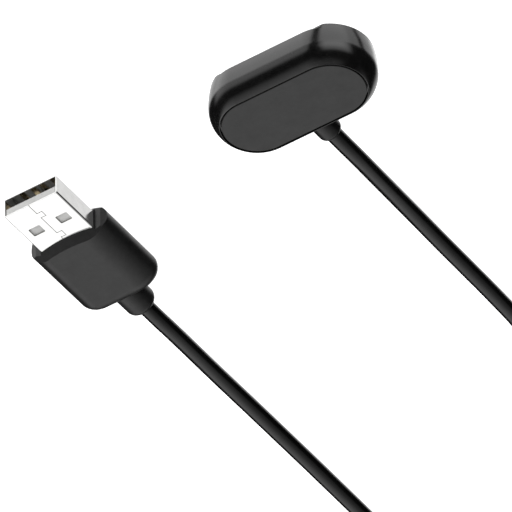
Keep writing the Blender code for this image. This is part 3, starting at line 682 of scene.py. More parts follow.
@dataclass
class Dock:
    """Pill-shaped dock: case, base plate, cord boss and what they hold."""

    maker: Maker
    half_straight: float = 7.9 * MM
    radius: float = 9.1 * MM
    height: float = 9.2 * MM
    draft: float = 0.45 * MM
    shoulder_drop: float = 4.6 * MM
    shoulder_inset: float = 1.93 * MM
    lip_rounding: float = 0.35 * MM
    groove_edge: float = 0.12 * MM
    groove: float = 0.3 * MM
    ledge: float = 0.75 * MM
    plate_thickness: float = 1.0 * MM
    plate_rounding: float = 0.1 * MM
    seat_gap: float = 0.05 * MM
    edge: float = 0.09 * MM
    floor: float = 1.2 * MM
    channel_depth: float = 1.1 * MM
    channel_half_flat: float = 10.2 * MM
    channel_ramp: float = 2.0 * MM
    pin_half_pitch: float = 2.5 * MM
    pin_hole: float = 1.15 * MM
    boss_radius: float = 2.4 * MM
    boss_end: float = 13.0 * MM
    boss_rounding: float = 1.2 * MM
    boss_fit: float = 0.08 * MM
    boss_bore: float = 0.95 * MM
    root: float = 0.15 * MM
    flange_gap: float = 0.2 * MM
    flange_thickness: float = 1.0 * MM

    @property
    def opening(self) -> float:
        """Radius of the plate's opening."""
        return self.radius - self.shoulder_inset - self.groove_edge

    @property
    def ledge_z(self) -> float:
        """Height of the ledge that the plate lies on."""
        return self.height - self.plate_thickness - 2 * self.seat_gap

    @property
    def boss_z(self) -> float:
        """Height of the cord boss's axis."""
        return (self.channel_depth + self.floor + self.ledge_z) / 2

    def build(self) -> None:
        """Build and dress every piece of the dock."""
        self.build_case()
        self.build_plate()
        self.build_boss()
        self.maker.keep(
            ("pin_carrier", Slot.NATURAL_PLASTIC, 0.08 * MM), ("magnet_left", Slot.MAGNET, 0.15 * MM),
            ("magnet_right", Slot.MAGNET, 0.15 * MM), ("magnet_yoke", Slot.YOKE_STEEL, 0.05 * MM),
            ("dock_circuit_board", Slot.BOARD_GREEN, 0.04 * MM), ("dock_wire_red", Slot.RED_WIRE, 0.0),
            ("dock_wire_black", Slot.BLACK_WIRE, 0.0))

    def wall_profile(self) -> Profile:
        """Outside of the case from the plate's opening down to its lower rim.

        Returns:
            (radius, height) points.
        """
        bend = (self.shoulder_inset ** 2 + self.shoulder_drop ** 2) / (2 * self.shoulder_inset)
        top = math.degrees(math.asin(self.shoulder_drop / bend))
        shoulder_z, rim = self.height - self.shoulder_drop, self.radius - self.draft
        shoulder = arc((self.radius - bend, shoulder_z), bend, top, 0.0, 20)
        belly = [(self.radius - self.draft * t * t, shoulder_z * (1 - t) + self.lip_rounding * t)
                 for t in (0.25, 0.5, 0.75)]
        lip = arc((rim - self.lip_rounding, self.lip_rounding), self.lip_rounding, 0.0, -90.0, 6)
        return shoulder + belly + lip

    def build_case(self) -> None:
        """Moulded cup with a sunk charging face between two end lips."""
        floor_z, cavity = self.channel_depth + self.floor, self.opening - self.ledge
        profile = [(0.0, floor_z), (cavity, floor_z), (cavity, self.ledge_z), (self.opening, self.ledge_z)]
        profile += arc((self.opening + self.groove_edge, self.height - self.groove_edge), self.groove_edge,
                       180.0, 90.0, 4)
        profile += [*self.wall_profile()[1:], (0.0, 0.0)]
        case = self.maker.pill("dock_case", profile, self.half_straight)
        self.maker.combine(case, self.channel_tool())
        for x in (-self.pin_half_pitch, self.pin_half_pitch):
            self.maker.drill(case, self.pin_hole, (x, 0.0, -MM), (x, 0.0, floor_z + MM))
        self.maker.drill(case, self.boss_radius + self.boss_fit, (0.0, cavity - MM, self.boss_z),
                         (0.0, self.radius + MM, self.boss_z), 64)
        self.maker.clean(case)
        self.maker.soften(case, self.edge)
        self.maker.dress(case, Slot.GLOSS_BLACK, replaces=["dock_body"])

    def channel_tool(self) -> Object:
        """Block with sloped ends that sinks the charging face."""
        half_width = self.radius + MM
        tool = self.maker.block("channel", (-self.channel_half_flat, -half_width, -MM),
                                (self.channel_half_flat, half_width, self.channel_depth))
        reach = self.channel_ramp * (1 + MM / self.channel_depth)
        with self.maker.editing(tool, "VERT"):
            for side in (-1, 1):
                self.maker.pick(tool, "verts", lambda vert: vert.co.z < 0 and vert.co.x * side > 0)
                bpy.ops.transform.translate(value=(side * reach, 0.0, 0.0))
        return tool

    def build_plate(self) -> None:
        """Flat inset base plate with a softly broken rim and an open groove round it."""
        radius, rounding = self.opening - self.groove, self.plate_rounding
        low = self.ledge_z + self.seat_gap
        high = low + self.plate_thickness
        top = arc((radius - rounding, high - rounding), rounding, 90.0, 0.0, 4)
        profile = [(0.0, high), *top, (radius, low), (0.0, low)]
        plate = self.maker.pill("base_plate", profile, self.half_straight)
        self.maker.dress(plate, Slot.MATT_GREY, replaces=["dock_base_plate"])

    def build_boss(self) -> None:
        """Round boss with a domed end that the cord leaves by; its flange lies inside the wall."""
        bore, socket = self.boss_bore, CORD_SOCKET
        flange = (self.ledge_z - self.channel_depth - self.floor) / 2 - self.root
        outer = self.opening - self.ledge - self.flange_gap
        inner, floor = outer - self.flange_thickness, self.boss_end - SOCKET_DEPTH
        round_radius, round_y = self.boss_radius - self.boss_rounding, self.boss_end - self.boss_rounding
        start = math.degrees(math.acos((socket - round_radius) / self.boss_rounding))
        end = arc((round_radius, round_y), self.boss_rounding, start, 0.0, 10)
        profile = [(bore, floor), (socket, floor), *end, (self.boss_radius, self.radius + self.root),
                   (self.boss_radius, outer), (flange, outer), (flange, inner), (bore, inner), (bore, floor)]
        boss = self.maker.lathe("cord_boss", profile, (0.0, 0.0, self.boss_z), BACK)
        self.maker.dress(boss, Slot.SOFT_BLACK, replaces=["dock_grommet"])


@dataclass
class SpringPin:
    """One spring-loaded charging pin: barrel, plunger and the coil spring between them."""

    maker: Maker
    side: str
    x: float
    barrel_z: float = 1.15 * MM
    barrel_top: float = 5.8 * MM
    barrel_radius: float = 1.0 * MM
    bore: float = 0.72 * MM
    bore_top: float = 5.4 * MM
    mouth: float = 0.55 * MM
    mouth_top: float = 1.5 * MM
    tail_radius: float = 0.3 * MM
    tail_top: float = 7.15 * MM
    tip_z: float = 0.35 * MM
    tip_radius: float = 0.45 * MM
    flange_z: float = 1.55 * MM
    flange_radius: float = 0.62 * MM
    flange_thickness: float = 0.5 * MM
    spring_radius: float = 0.52 * MM
    spring_wire: float = 0.08 * MM
    spring_turns: int = 7
    spring_low: float = 2.18 * MM
    spring_high: float = 5.27 * MM
    spring_end: float = 5.35 * MM
    travel: float = 0.65 * MM
    edge: float = 0.06 * MM

    def build(self) -> None:
        """Build and dress the three pieces."""
        edge, half_edge, outer, tail = self.edge, self.edge / 2, self.barrel_radius, self.tail_radius
        foot, top = self.barrel_z, self.barrel_top
        barrel = [(0.0, self.bore_top), (self.bore, self.bore_top), (self.bore, self.mouth_top),
                  (self.mouth, self.mouth_top), (self.mouth, foot), (outer - edge, foot),
                  (outer, foot + edge), (outer, top - edge), (outer - edge, top), (tail, top),
                  (tail, self.tail_top - edge), (tail - edge, self.tail_top), (0.0, self.tail_top)]
        flange, low, high = self.flange_radius, self.flange_z, self.flange_z + self.flange_thickness
        plunger = arc((0.0, self.tip_z + self.tip_radius), self.tip_radius, -90.0, 0.0, 8)
        plunger += [(self.tip_radius, low), (flange - half_edge, low), (flange, low + half_edge),
                    (flange, high), (0.0, high)]
        for kind, profile, body in (("barrel", barrel, "lead"), ("plunger", plunger, f"plunger_{self.side}")):
            piece = self.maker.lathe(f"pin_{self.side}_{kind}", profile, (self.x, 0.0, 0.0), UP, 40)
            self.maker.dress(piece, Slot.GOLD, Body(body), [f"pin_{kind}_{self.side}"])
        self.build_spring()

    def build_spring(self) -> None:
        """Helix of wire in the barrel, above the plunger."""
        start, rise = (self.spring_radius, 0.0, self.spring_low), self.spring_high - self.spring_low
        spring = self.maker.start(bpy.ops.mesh.primitive_circle_add, f"pin_{self.side}_spring", vertices=8,
                                  radius=self.spring_wire, location=start, rotation=(math.pi / 2, 0.0, 0.0))
        self.maker.modify(spring, "SCREW", axis="Z", angle=FULL_TURN, iterations=self.spring_turns, steps=20,
                          render_steps=20, screw_offset=rise / self.spring_turns)
        with self.maker.editing(spring, "EDGE"):
            bpy.ops.mesh.fill_holes(sides=8)
            bpy.ops.mesh.select_all(action="SELECT")
            bpy.ops.transform.translate(value=(self.x, 0.0, 0.0))
        self.maker.clean(spring)
        self.maker.dress(spring, Slot.SPRING_STEEL, replaces=[f"pin_spring_{self.side}"])
        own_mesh(spring)


@dataclass
class Plug:
    """Flat plug: folded shell, tongue and contacts, overmould and strain relief."""

    maker: Maker
    x: float = 56.0 * MM
    nose_y: float = -4.35 * MM
    z: float = 3.9 * MM
    shell_width: float = 12.0 * MM
    shell_height: float = 4.5 * MM
    shell_wall: float = 0.3 * MM
    shell_corner: float = 0.4 * MM
    shell_length: float = 18.5 * MM
    exposed: float = 11.65 * MM
    window_x: float = 3.05 * MM
    window_y: float = 6.45 * MM
    window_width: float = 2.5 * MM
    window_length: float = 2.1 * MM
    window_corner: float = 0.22 * MM
    seam_x: float = 0.35 * MM
    seam_width: float = 0.12 * MM
    seam_depth: float = 0.35 * MM
    tab_reach: float = 1.1 * MM
    tab_flare: float = 0.06 * MM
    seam_tail: float = 3.0 * MM
    tabs: tuple[Pair, ...] = ((2.65 * MM, 3.95 * MM), (9.1 * MM, 10.45 * MM))
    edge: float = 0.09 * MM
    grip_edge: float = 0.12 * MM
    grip_half_width: float = 8.65 * MM
    grip_half_height: float = 3.9 * MM
    grip_rear: float = 31.1 * MM
    grip_side_reach: Pair = (5.25 * MM, 3.6 * MM)
    grip_side_rise: float = 3.7 * MM
    grip_plan_radius: float = 2.7 * MM
    grip_rear_radius: float = 1.6 * MM
    grip_rear_steps: int = 9
    front_bow_radius: float = 26.0 * MM
    front_middle: float = 11.1 * MM
    front_chamfer: float = 1.3 * MM
    corner_front: float = 12.15 * MM
    corner_step: float = 0.1 * MM
    corner_break: float = 0.4 * MM
    relief_radius: float = 3.15 * MM
    relief_end: float = 37.1 * MM
    relief_rounding: float = 1.5 * MM
    relief_root: float = 2.0 * MM
    mould_half_width: float = 5.0 * MM
    mould_half_height: float = 2.0 * MM
    mould_front: float = 18.8 * MM
    mould_rear: float = 24.0 * MM
    wire_bore: float = 0.95 * MM
    fit: float = 0.05 * MM
    over: float = 2.0 * MM

    def at(self, x: float, y: float, z: float) -> Vector:
        """A point given from the middle of the nose."""
        return Vector((self.x + x, self.nose_y + y, self.z + z))

    def build(self) -> None:
        """Build and dress every piece of the plug."""
        self.build_shell()
        self.build_grip()
        contacts = (f"contact_{name}" for name in ("supply", "data_minus", "data_plus", "ground"))
        self.maker.keep(
            ("plug_insulator", Slot.WHITE_PLASTIC, 0.08 * MM),
            ("plug_inner_mould", Slot.NATURAL_PLASTIC, 0.2 * MM),
            *((contact, Slot.GOLD, 0.03 * MM) for contact in contacts),
            ("plug_wire_red", Slot.RED_WIRE, 0.0), ("plug_wire_black", Slot.BLACK_WIRE, 0.0))

    def build_shell(self) -> None:
        """Folded tube with a latch window in each quarter and a dovetailed seam on its upper face."""
        width, height, length = self.shell_width / 2, self.shell_height / 2, self.shell_length
        wall, corner = self.shell_wall, self.shell_corner
        shell = self.maker.rounded("plug_tube", self.at(-width, 0.0, -height), self.at(width, length, height),
                                   1, corner, 6)
        mouth = self.maker.rounded("plug_mouth", self.at(wall - width, -MM, wall - height),
                                   self.at(width - wall, length + MM, height - wall), 1, corner - wall, 4)
        self.maker.combine(shell, mouth)
        across, along, reach = self.window_width / 2, self.window_length / 2, height + self.over
        for x in (-self.window_x, self.window_x):
            self.maker.combine(shell, self.maker.rounded(
                "window", self.at(x - across, self.window_y - along, -reach),
                self.at(x + across, self.window_y + along, reach), 2, self.window_corner, 3))
        self.maker.clean(shell)
        self.maker.soften(shell, self.edge)
        for start, end in self.seam():
            self.maker.combine(shell, self.groove_tool(start, end))
        self.maker.dress(shell, Slot.NICKEL, replaces=["plug_shell"], smooth=28.0)
        # Painted shade: the seam's and the windows' cut faces get a darker material.
        self.paint_shade_on_cuts(shell)

    def paint_shade_on_cuts(self, shell: Object) -> None:
        """Paint shade on the sheared faces of the windows and the seam with the darker yoke-steel material,
        so that the seam and the windows' edges read as dark lines.
        """
        # Painted shade: the darker yoke-steel finish stands in for the shade in the seam and on the windows'
        # cut edges.
        shell.data.materials.append(self.maker.materials[Slot.YOKE_STEEL])
        outer, inner = self.shell_height / 2 - MERGE, self.shell_height / 2 - self.shell_wall

        def sheared(face: bmesh.types.BMFace) -> bool:
            """Whether a face stands in the thickness of a wide wall, away from the tube's own edges."""
            middle = face.calc_center_median()
            return (inner < abs(middle.z - self.z) < outer and abs(face.normal.z) < 0.5
                    and abs(middle.x - self.x) < self.shell_width / 2 - MM
                    and middle.y > self.nose_y + self.shell_wall)

        with self.maker.editing(shell, "FACE"):
            self.maker.pick(shell, "faces", sheared)
            shell.active_material_index = 1
            bpy.ops.object.material_slot_assign()

    def seam(self) -> list[tuple[Pair, Pair]]:
        """Straight stretches of the seam, from the nose back.

        Returns:
            The two ends of each stretch, in plan from the middle of the nose.
        """
        points, outer = [(self.seam_x, -MM)], self.seam_x - self.tab_reach
        for front, rear in self.tabs:
            points += [(self.seam_x, front), (outer, front - self.tab_flare), (outer, rear + self.tab_flare),
                       (self.seam_x, rear)]
        points.append((self.seam_x, self.exposed + self.seam_tail))
        return list(zip(points, points[1:]))

    def groove_tool(self, start: Pair, end: Pair) -> Object:
        """Thin bar that cuts one stretch of the seam."""
        along = Vector(end) - Vector(start)
        middle = (Vector(start) + Vector(end)) / 2
        return self.maker.start(bpy.ops.mesh.primitive_cube_add, "groove", size=1.0,
                                location=self.at(middle.x, middle.y, self.shell_height / 2),
                                rotation=(0.0, 0.0, math.atan2(along.y, along.x)),
                                scale=(along.length + self.seam_width, self.seam_width, 2 * self.seam_depth))

    def build_grip(self) -> None:
        """Overmould with a bowed, chamfered front, cut-back front corners and a round strain relief."""
        make, fit = self.maker, self.fit
        grip = self.grip_blank()
        make.combine(grip, self.front_tool(), "INTERSECT")
        for side in (-1, 1):
            make.combine(grip, self.corner_tool(side))
        root = self.grip_rear - self.relief_root
        tip = arc((self.relief_radius - self.relief_rounding, self.relief_end - self.relief_rounding),
                  self.relief_rounding, 90.0, 0.0, 10)
        relief = [(0.0, self.relief_end), *tip, (self.relief_radius, root), (0.0, root)]
        make.combine(grip, make.lathe("relief", relief, self.at(0.0, 0.0, 0.0), BACK, 56), "UNION")
        make.clean(grip)
        make.soften(grip, self.grip_edge, segments=3, angle=30.0)
        width, height = self.shell_width / 2 + fit, self.shell_height / 2 + fit
        make.combine(grip, make.rounded("shell_pocket", self.at(-width, 0.0, -height),
                                        self.at(width, self.shell_length + fit, height), 1,
                                        self.shell_corner + fit, 6))
        width, height = self.mould_half_width + fit, self.mould_half_height + fit
        make.combine(grip, make.block("mould_pocket", self.at(-width, self.mould_front - MM, -height),
                                      self.at(width, self.mould_rear + fit, height)))
        for radius, front, rear in ((self.wire_bore, self.mould_rear - MM, self.relief_end),
                                    (CORD_SOCKET, self.relief_end - SOCKET_DEPTH,
                                     self.relief_end + MM)):
            make.drill(grip, radius, self.at(0.0, front, 0.0), self.at(0.0, rear, 0.0))
        make.dress(grip, Slot.MATT_GREY, replaces=["plug_overmould"], smooth=35.0)

    def grip_blank(self) -> Object:
        """Round-sided bar whose rear end draws in to a flat face.

        Returns:
            The bar, before its front is shaped.
        """
        width, height, front = self.grip_half_width, self.grip_half_height, self.front_middle - MM
        (left, right), rise = self.grip_side_reach, self.grip_side_rise
        section = []
        for x, z, reach, start in ((width - right, height - rise, right, 90.0),
                                   (width - right, rise - height, right, 0.0),
                                   (left - width, rise - height, left, -90.0),
                                   (left - width, height - rise, left, -180.0)):
            section += arc((x, z), reach, start, start - 90.0, 12, rise)
        straight = (0.0, self.grip_rear - self.grip_plan_radius - front, 0.0)
        blank = self.maker.prism("plug_grip", [self.at(x, front, z) for x, z in section], straight)
        with self.maker.editing(blank, "FACE"):
            self.maker.pick(blank, "faces", lambda face: face.normal.y > 0.5)
            shape = (1.0, 1.0, 0.0)
            for step in range(1, self.grip_rear_steps + 1):
                turn = math.pi / 2 * step / self.grip_rear_steps
                drawn = 1 - math.cos(turn)
                after = (1 - drawn * self.grip_plan_radius / width,
                         1 - drawn * self.grip_rear_radius / height, self.grip_plan_radius * math.sin(turn))
                self.maker.extrude((0.0, after[2] - shape[2], 0.0))
                bpy.ops.transform.resize(value=(after[0] / shape[0], 1.0, after[1] / shape[1]),
                                         center_override=self.at(0.0, 0.0, 0.0))
                shape = after
            self.maker.face_out()
        return blank

    def front_tool(self) -> Object:
        """Wide disc with chamfered rims, whose edge bows the grip's front."""
        outer, face, top = self.front_bow_radius, self.shell_height / 2, self.grip_half_height + self.over
        inner = outer - self.front_chamfer * (top - face) / (self.grip_half_height - face)
        profile = [(0.0, top), (inner, top), (outer, face), (outer, -face), (inner, -top), (0.0, -top)]
        return self.maker.lathe("front_disc", profile, self.at(0.0, self.front_middle + outer, 0.0), UP, 240)

    def corner_tool(self, side: int) -> Object:
        """Upright block that sets one front corner back.

        Args:
            side: -1 or 1.

        Returns:
            The tool.
        """
        inner, outer = self.shell_width / 2 + self.corner_step, self.grip_half_width + self.over
        front, back, depth = self.front_middle - self.over, self.corner_front, self.grip_half_height + MM
        plan = [(inner, front), (inner, back), (self.grip_half_width - self.corner_break, back),
                (outer, back + self.corner_break + self.over), (outer, front)]
        corners = [self.at(side * x, y, -depth) for x, y in plan]
        return self.maker.prism("corner", corners, (0.0, 0.0, 2 * depth))


@dataclass
class Cord:
    """The round cord from the dock to the plug, with its spare length coiled in two layers."""

    maker: Maker
    start: Triple = (0.0, 12.35 * MM, 5.2 * MM)
    end: Triple = (56.0 * MM, 32.1 * MM, 3.9 * MM)
    exit: Triple = (0.0, 13.3 * MM, 5.2 * MM)
    radius: float = CORD_RADIUS
    length: float = 1.0
    rest: float = 1.67 * MM
    coil_x: float = 36.0 * MM
    coil_y: float = 156.0 * MM
    coil_outer: float = 21.6 * MM
    coil_inner: float = 8.9 * MM
    layer_turns: float = 3.75
    layer_rise: float = 3.34 * MM
    step_turns: float = 0.3
    tie_lift: float = 0.62 * MM
    tie_spread: float = 0.45
    points_per_turn: int = 40
    dock_run: tuple[Triple, ...] = (
        (0.0, 17.0, 5.15), (0.15, 22.0, 4.8), (0.7, 29.0, 3.85), (1.35, 37.0, 2.73), (1.8, 45.0, 1.98),
        (2.0, 53.0, 1.7), (2.0, 62.0, 1.67), (2.0, 71.0, 1.67), (2.2, 80.0, 1.67), (3.0, 90.0, 1.67),
        (4.8, 101.0, 1.67), (7.4, 112.0, 1.67), (10.2, 123.0, 1.67), (12.7, 134.0, 1.67), (13.9, 143.5, 1.67))
    plug_run: tuple[Triple, ...] = (
        (56.0, 38.0, 3.9), (56.1, 43.0, 3.65), (56.5, 50.0, 3.02), (57.0, 58.0, 2.27), (57.25, 66.0, 1.82),
        (57.3, 74.0, 1.68), (57.3, 83.0, 1.67), (57.3, 92.0, 1.67), (57.35, 101.0, 1.67), (57.4, 110.0, 1.7),
        (57.5, 119.0, 1.89), (57.6, 128.0, 2.41), (57.7, 136.0, 3.35), (57.7, 143.5, 4.45))

    def coil(self) -> list[Vector]:
        """Turns of the coil: inwards on the floor, then outwards on top.

        Returns:
            Points along them, in order from the dock.
        """
        points = []
        count = round(2 * self.layer_turns * self.points_per_turn)
        for index in range(count + 1):
            turns = index / self.points_per_turn
            inward = 1 - abs(turns / self.layer_turns - 1)
            radius = self.coil_outer + (self.coil_inner - self.coil_outer) * inward
            climb = min(max((turns - self.layer_turns) / self.step_turns + 0.5, 0.0), 1.0)
            angle = math.pi - FULL_TURN * turns
            off_tie = math.remainder(angle - math.pi / 2, FULL_TURN) / self.tie_spread
            lift = self.tie_lift * math.exp(-off_tie * off_tie)
            height = self.rest + self.layer_rise * climb * climb * (3 - 2 * climb) + lift
            points.append(Vector((self.coil_x + radius * math.cos(angle),
                                  self.coil_y + radius * math.sin(angle), height)))
        return points

    def route(self) -> list[Vector]:
        """The whole centreline, smoothed where it isn't coiled.

        Returns:
            Points from the dock to the plug.
        """
        turns = self.coil()
        there = [Vector(self.start)] + [Vector(point) * MM for point in self.dock_run]
        back = [Vector(point) * MM for point in reversed(self.plug_run)] + [Vector(self.end)]
        start, end = self.smooth(there, None, turns[0]), self.smooth(back, turns[-1], None)
        entry = there[-1].lerp(turns[0], 0.5) + self.bulge(start[-2], there[-1], turns[0], turns[1])
        leave = turns[-1].lerp(back[0], 0.5) + self.bulge(turns[-2], turns[-1], back[0], end[1])
        return [*start, entry, *turns, leave, *end]

    @staticmethod
    def bulge(before: Vector, first: Vector, last: Vector, after: Vector) -> Vector:
        """How far the middle of a span leaves its chord, from the directions at its two ends."""
        reach = (last - first).length / 8
        return ((first - before).normalized() - (after - last).normalized()) * reach

    @staticmethod
    def smooth(points: Sequence[Vector], before: Vector | None, after: Vector | None,
               steps: int = 6) -> list[Vector]:
        """Catmull-Rom line through points.

        Args:
            points: What it passes through.
            before: The point before the first, or None to mirror the second.
            after: The point after the last, or None to mirror the last but one.
            steps: Pieces between two points.

        Returns:
            The line's points, the last one included.
        """
        first = before if before else 2 * points[0] - points[1]
        last = after if after else 2 * points[-1] - points[-2]
        padded = [first, *points, last]
        line = []
        for p0, p1, p2, p3 in zip(padded, padded[1:], padded[2:], padded[3:]):
            for step in range(steps):
                t = step / steps
                line.append(0.5 * (2 * p1 + (p2 - p0) * t + (2 * p0 - 5 * p1 + 4 * p2 - p3) * t * t
                                   + (3 * p1 - p0 - 3 * p2 + p3) * t * t * t))
        return line + [points[-1]]

    def build(self) -> Object:
        """Build and dress the cord.

        Returns:
            The cord's curve.
        """
        points = self.route()
        bpy.ops.object.select_all(action="DESELECT")
        bpy.ops.curve.primitive_nurbs_path_add()
        cord = bpy.context.object
        cord.name = cord.data.name = "cord"
        cord.data.splines.clear()
        line = cord.data.splines.new("POLY")
        line.points.add(len(points) - 1)
        for place, point in zip(line.points, points):
            place.co = (*point, 1.0)
        line.use_smooth = True
        cord.data.bevel_depth = self.radius
        cord.data.bevel_resolution = 9
        cord.data.use_fill_caps = True
        run = sum((b - a).length for a, b in zip(points, points[1:]))
        LOG.info("cord: %.1f mm along its centreline", run / MM)
        return self.maker.dress(cord, Slot.CORD_BLACK,
                                replaces=["cord_dock_run", "cord_plug_run", "cord_coil"])


@dataclass
class Tie:
    """Flat woven band wrapped round the coil, with its end lapped over the top."""

    maker: Maker
    cord: Cord
    half_width: float = 2.0 * MM
    thickness: float = 0.5 * MM
    clearance: float = 0.06 * MM
    corner: float = 1.3 * MM
    edge: float = 0.1 * MM
    weave: float = 0.9
    lap: float = 4.5 * MM
    lap_lift: float = 0.92
    lap_low: float = 2.2
    lap_high: float = 1.5

    def build(self) -> None:
        """Build and dress the band."""
        cord, corner, lap = self.cord, self.corner, self.lap
        per_turn = (cord.coil_outer - cord.coil_inner) / cord.layer_turns
        gap = cord.radius + self.clearance + self.thickness / 2
        sag = self.half_width ** 2 / (2 * cord.coil_inner)
        near = cord.coil_y + cord.coil_inner + per_turn / 2 - gap - sag
        far = cord.coil_y + cord.coil_outer - per_turn / 4 + gap
        low = cord.rest + cord.tie_lift - gap
        high = cord.rest + cord.layer_rise + cord.tie_lift + gap
        middle, above = (near + far) / 2, high + self.thickness * self.lap_lift
        path = [(middle - lap, high)]
        for y, z, start in ((far - corner, high - corner, 90.0), (far - corner, low + corner, 0.0),
                            (near + corner, low + corner, -90.0), (near + corner, high - corner, -180.0)):
            path += arc((y, z), corner, start, start - 90.0, 8)
        path += [(middle - self.lap_low * lap, high), (middle - self.lap_high * lap, above),
                 (middle + lap, above)]
        band = self.maker.outline("tie_band", [(cord.coil_x - self.half_width, y, z) for y, z in path])
        with self.maker.editing(band, "EDGE"):
            self.maker.extrude((2 * self.half_width, 0.0, 0.0))
            self.maker.face_out()
        self.maker.modify(band, "SOLIDIFY", thickness=self.thickness * self.weave, offset=0.0,
                          use_even_offset=True)
        self.maker.soften(band, self.edge, angle=50.0)
        self.maker.dress(band, Slot.TIE_BLACK, replaces=["cord_tie"], smooth=40.0)


# Camera, floor and surroundings

@dataclass(frozen=True)
class Panel:
    """One soft area of light or shade on the dome, given in degrees."""

    strength: float
    low: float
    high: float
    edge: float
    azimuth: float = 0.0
    half_width: float = 360.0
    side_edge: float = 10.0


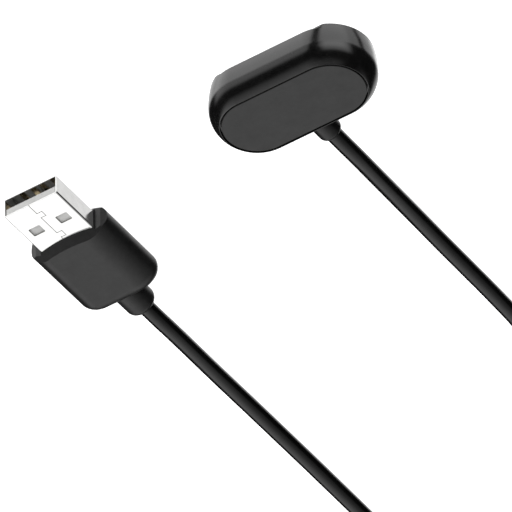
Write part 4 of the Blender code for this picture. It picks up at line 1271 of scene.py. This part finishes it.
@dataclass
class Studio:
    """Camera, bright floor, a soft sun and a dome that only reflections and soft light see."""

    lens: float = 558.3
    sensor: float = 36.0
    clip: Pair = (0.1, 100.0)
    place: Triple = (-564.3 * MM, -891.6 * MM, 1007.9 * MM)
    right: Triple = (-0.8275, 0.5608, 0.0261)
    down: Triple = (0.3942, 0.5473, 0.7383)
    forward: Triple = (0.3997, 0.6212, -0.6740)
    floor_size: float = 60.0
    floor_z: float = -0.05 * MM
    floor_shades: Pair = (0.84, 0.86)
    floor_roughness: float = 0.9
    floor_glow: float = 1.0
    ambient: float = 0.015
    panels: tuple[Panel, ...] = (
        Panel(1.38, 16.0, 66.0, 15.0, 30.0, 80.0, 120.0),
        Panel(0.3, 30.0, 64.0, 20.0, -90.0, 70.0, 26.0),
        Panel(0.88, -110.0, -38.0, 6.0),
        Panel(0.52, -110.0, -38.0, 6.0, -90.0, 85.0, 20.0),
        Panel(0.85, -38.0, -16.0, 14.0, -90.0, 70.0, 20.0),
        Panel(1.1, -38.0, -4.0, 12.0, -140.0, 30.0, 16.0),
        Panel(0.8, -50.0, -12.0, 12.0, 84.0, 20.0, 20.0),
        Panel(-1.5, -110.0, -10.0, 12.0, -91.0, 9.0, 15.0),
        Panel(-1.0, -110.0, -10.0, 12.0, 151.5, 6.0, 9.0),
    )
    sun_strength: float = 2.2
    sun_from: Triple = (-0.45, -1.0, 0.75)
    sun_spread: float = 40.0

    def build(self) -> None:
        """Make all of them."""
        self.build_camera()
        self.build_floor()
        self.build_sun()
        self.build_dome()
        bpy.context.scene.view_settings.view_transform = "Standard"

    def build_camera(self) -> None:
        """Long lens that looks down on the lead from behind its dock."""
        bpy.ops.object.camera_add()
        camera = bpy.context.object
        camera.name = "camera"
        camera.data.lens = self.lens
        camera.data.sensor_width = self.sensor
        camera.data.clip_start, camera.data.clip_end = self.clip
        axes = Matrix((self.right, [-c for c in self.down], [-c for c in self.forward])).transposed()
        camera.matrix_world = Matrix.Translation(self.place) @ axes.to_4x4()
        bpy.context.scene.camera = camera

    def build_floor(self) -> None:
        """White floor that the camera sees and the pieces don't reflect."""
        bpy.ops.mesh.primitive_plane_add(size=self.floor_size, location=(0.0, 0.0, self.floor_z))
        floor = bpy.context.object
        floor.name = "floor"
        sheet = NodeSheet("floor_white")
        sheet.tint(sheet.blend(sheet.noise(0.01, detail=2.0), *map(grey, self.floor_shades)))
        sheet.set(roughness=self.floor_roughness, specular_ior_level=0.0,
                  emission_color=(1.0, 1.0, 1.0, 1.0), emission_strength=self.floor_glow)
        floor.data.materials.append(sheet.material)
        floor.visible_glossy = False
        floor.visible_diffuse = False

    def build_sun(self) -> None:
        """Soft light from the camera's side, which the pieces don't mirror."""
        turn = Vector(self.sun_from).to_track_quat("Z", "Y").to_euler()
        bpy.ops.object.light_add(type="SUN", rotation=turn)
        sun = bpy.context.object
        sun.name = "sun"
        sun.data.energy = self.sun_strength
        sun.data.angle = math.radians(self.sun_spread)
        sun.visible_glossy = False

    def build_dome(self) -> None:
        """World shader that adds up the panels by direction."""
        world = bpy.context.scene.world or bpy.data.worlds.new("dome")
        bpy.context.scene.world = world
        world.use_nodes = True
        tree = world.node_tree

        def maths(operation: str, *values: object, clamp: bool = False) -> Socket:
            """Add a maths node with sockets or numbers as its inputs."""
            node = tree.nodes.new("ShaderNodeMath")
            node.operation, node.use_clamp = operation, clamp
            for socket, value in zip(node.inputs, values):
                if isinstance(value, (int, float)):
                    socket.default_value = value
                else:
                    tree.links.new(value, socket)
            return node.outputs[0]

        def step(value: object, start: float, width: float) -> Socket:
            """Smooth rise from 0 at start to 1 a width later, both in degrees."""
            ramp = tree.nodes.new("ShaderNodeMapRange")
            ramp.interpolation_type = "SMOOTHSTEP"
            ramp.inputs["From Min"].default_value = start
            ramp.inputs["From Max"].default_value = start + width
            tree.links.new(value, ramp.inputs["Value"])
            return ramp.outputs["Result"]

        split = tree.nodes.new("ShaderNodeSeparateXYZ")
        tree.links.new(tree.nodes.new("ShaderNodeTexCoord").outputs["Generated"], split.inputs[0])
        to_degrees = HALF_TURN / math.pi
        height = maths("MULTIPLY", maths("ARCSINE", split.outputs["Z"]), to_degrees)
        azimuth = maths("MULTIPLY", maths("ARCTAN2", split.outputs["Y"], split.outputs["X"]), to_degrees)
        total = self.ambient
        for panel in self.panels:
            inside = maths("MULTIPLY", step(height, panel.low - panel.edge / 2, panel.edge),
                           maths("SUBTRACT", 1.0, step(height, panel.high - panel.edge / 2, panel.edge)))
            if panel.half_width < HALF_TURN:
                turned = maths("SUBTRACT", azimuth, panel.azimuth)
                away = maths("ABSOLUTE", maths("WRAP", turned, HALF_TURN, -HALF_TURN))
                side = step(away, panel.half_width - panel.side_edge / 2, panel.side_edge)
                inside = maths("MULTIPLY", inside, maths("SUBTRACT", 1.0, side))
            total = maths("ADD", total, maths("MULTIPLY", inside, panel.strength))
        background = tree.nodes["Background"].inputs
        background["Color"].default_value = (1.0, 1.0, 1.0, 1.0)
        tree.links.new(maths("MAXIMUM", total, self.ambient), background["Strength"])


def main() -> None:
    """Build the surroundings, then the lead from its cord to its ends."""
    logging.basicConfig(level=logging.INFO, format="%(name)s: %(message)s")
    Studio().build()
    maker = Maker({finish.slot: finish.material() for finish in FINISHES})
    lead = Cord(maker)
    cord = lead.build()
    Tie(maker, lead).build()
    dock = Dock(maker)
    dock.build()
    SpringPin(maker, "left", -dock.pin_half_pitch).build()
    SpringPin(maker, "right", dock.pin_half_pitch).build()
    Plug(maker).build()


if __name__ == "__main__":
    main()
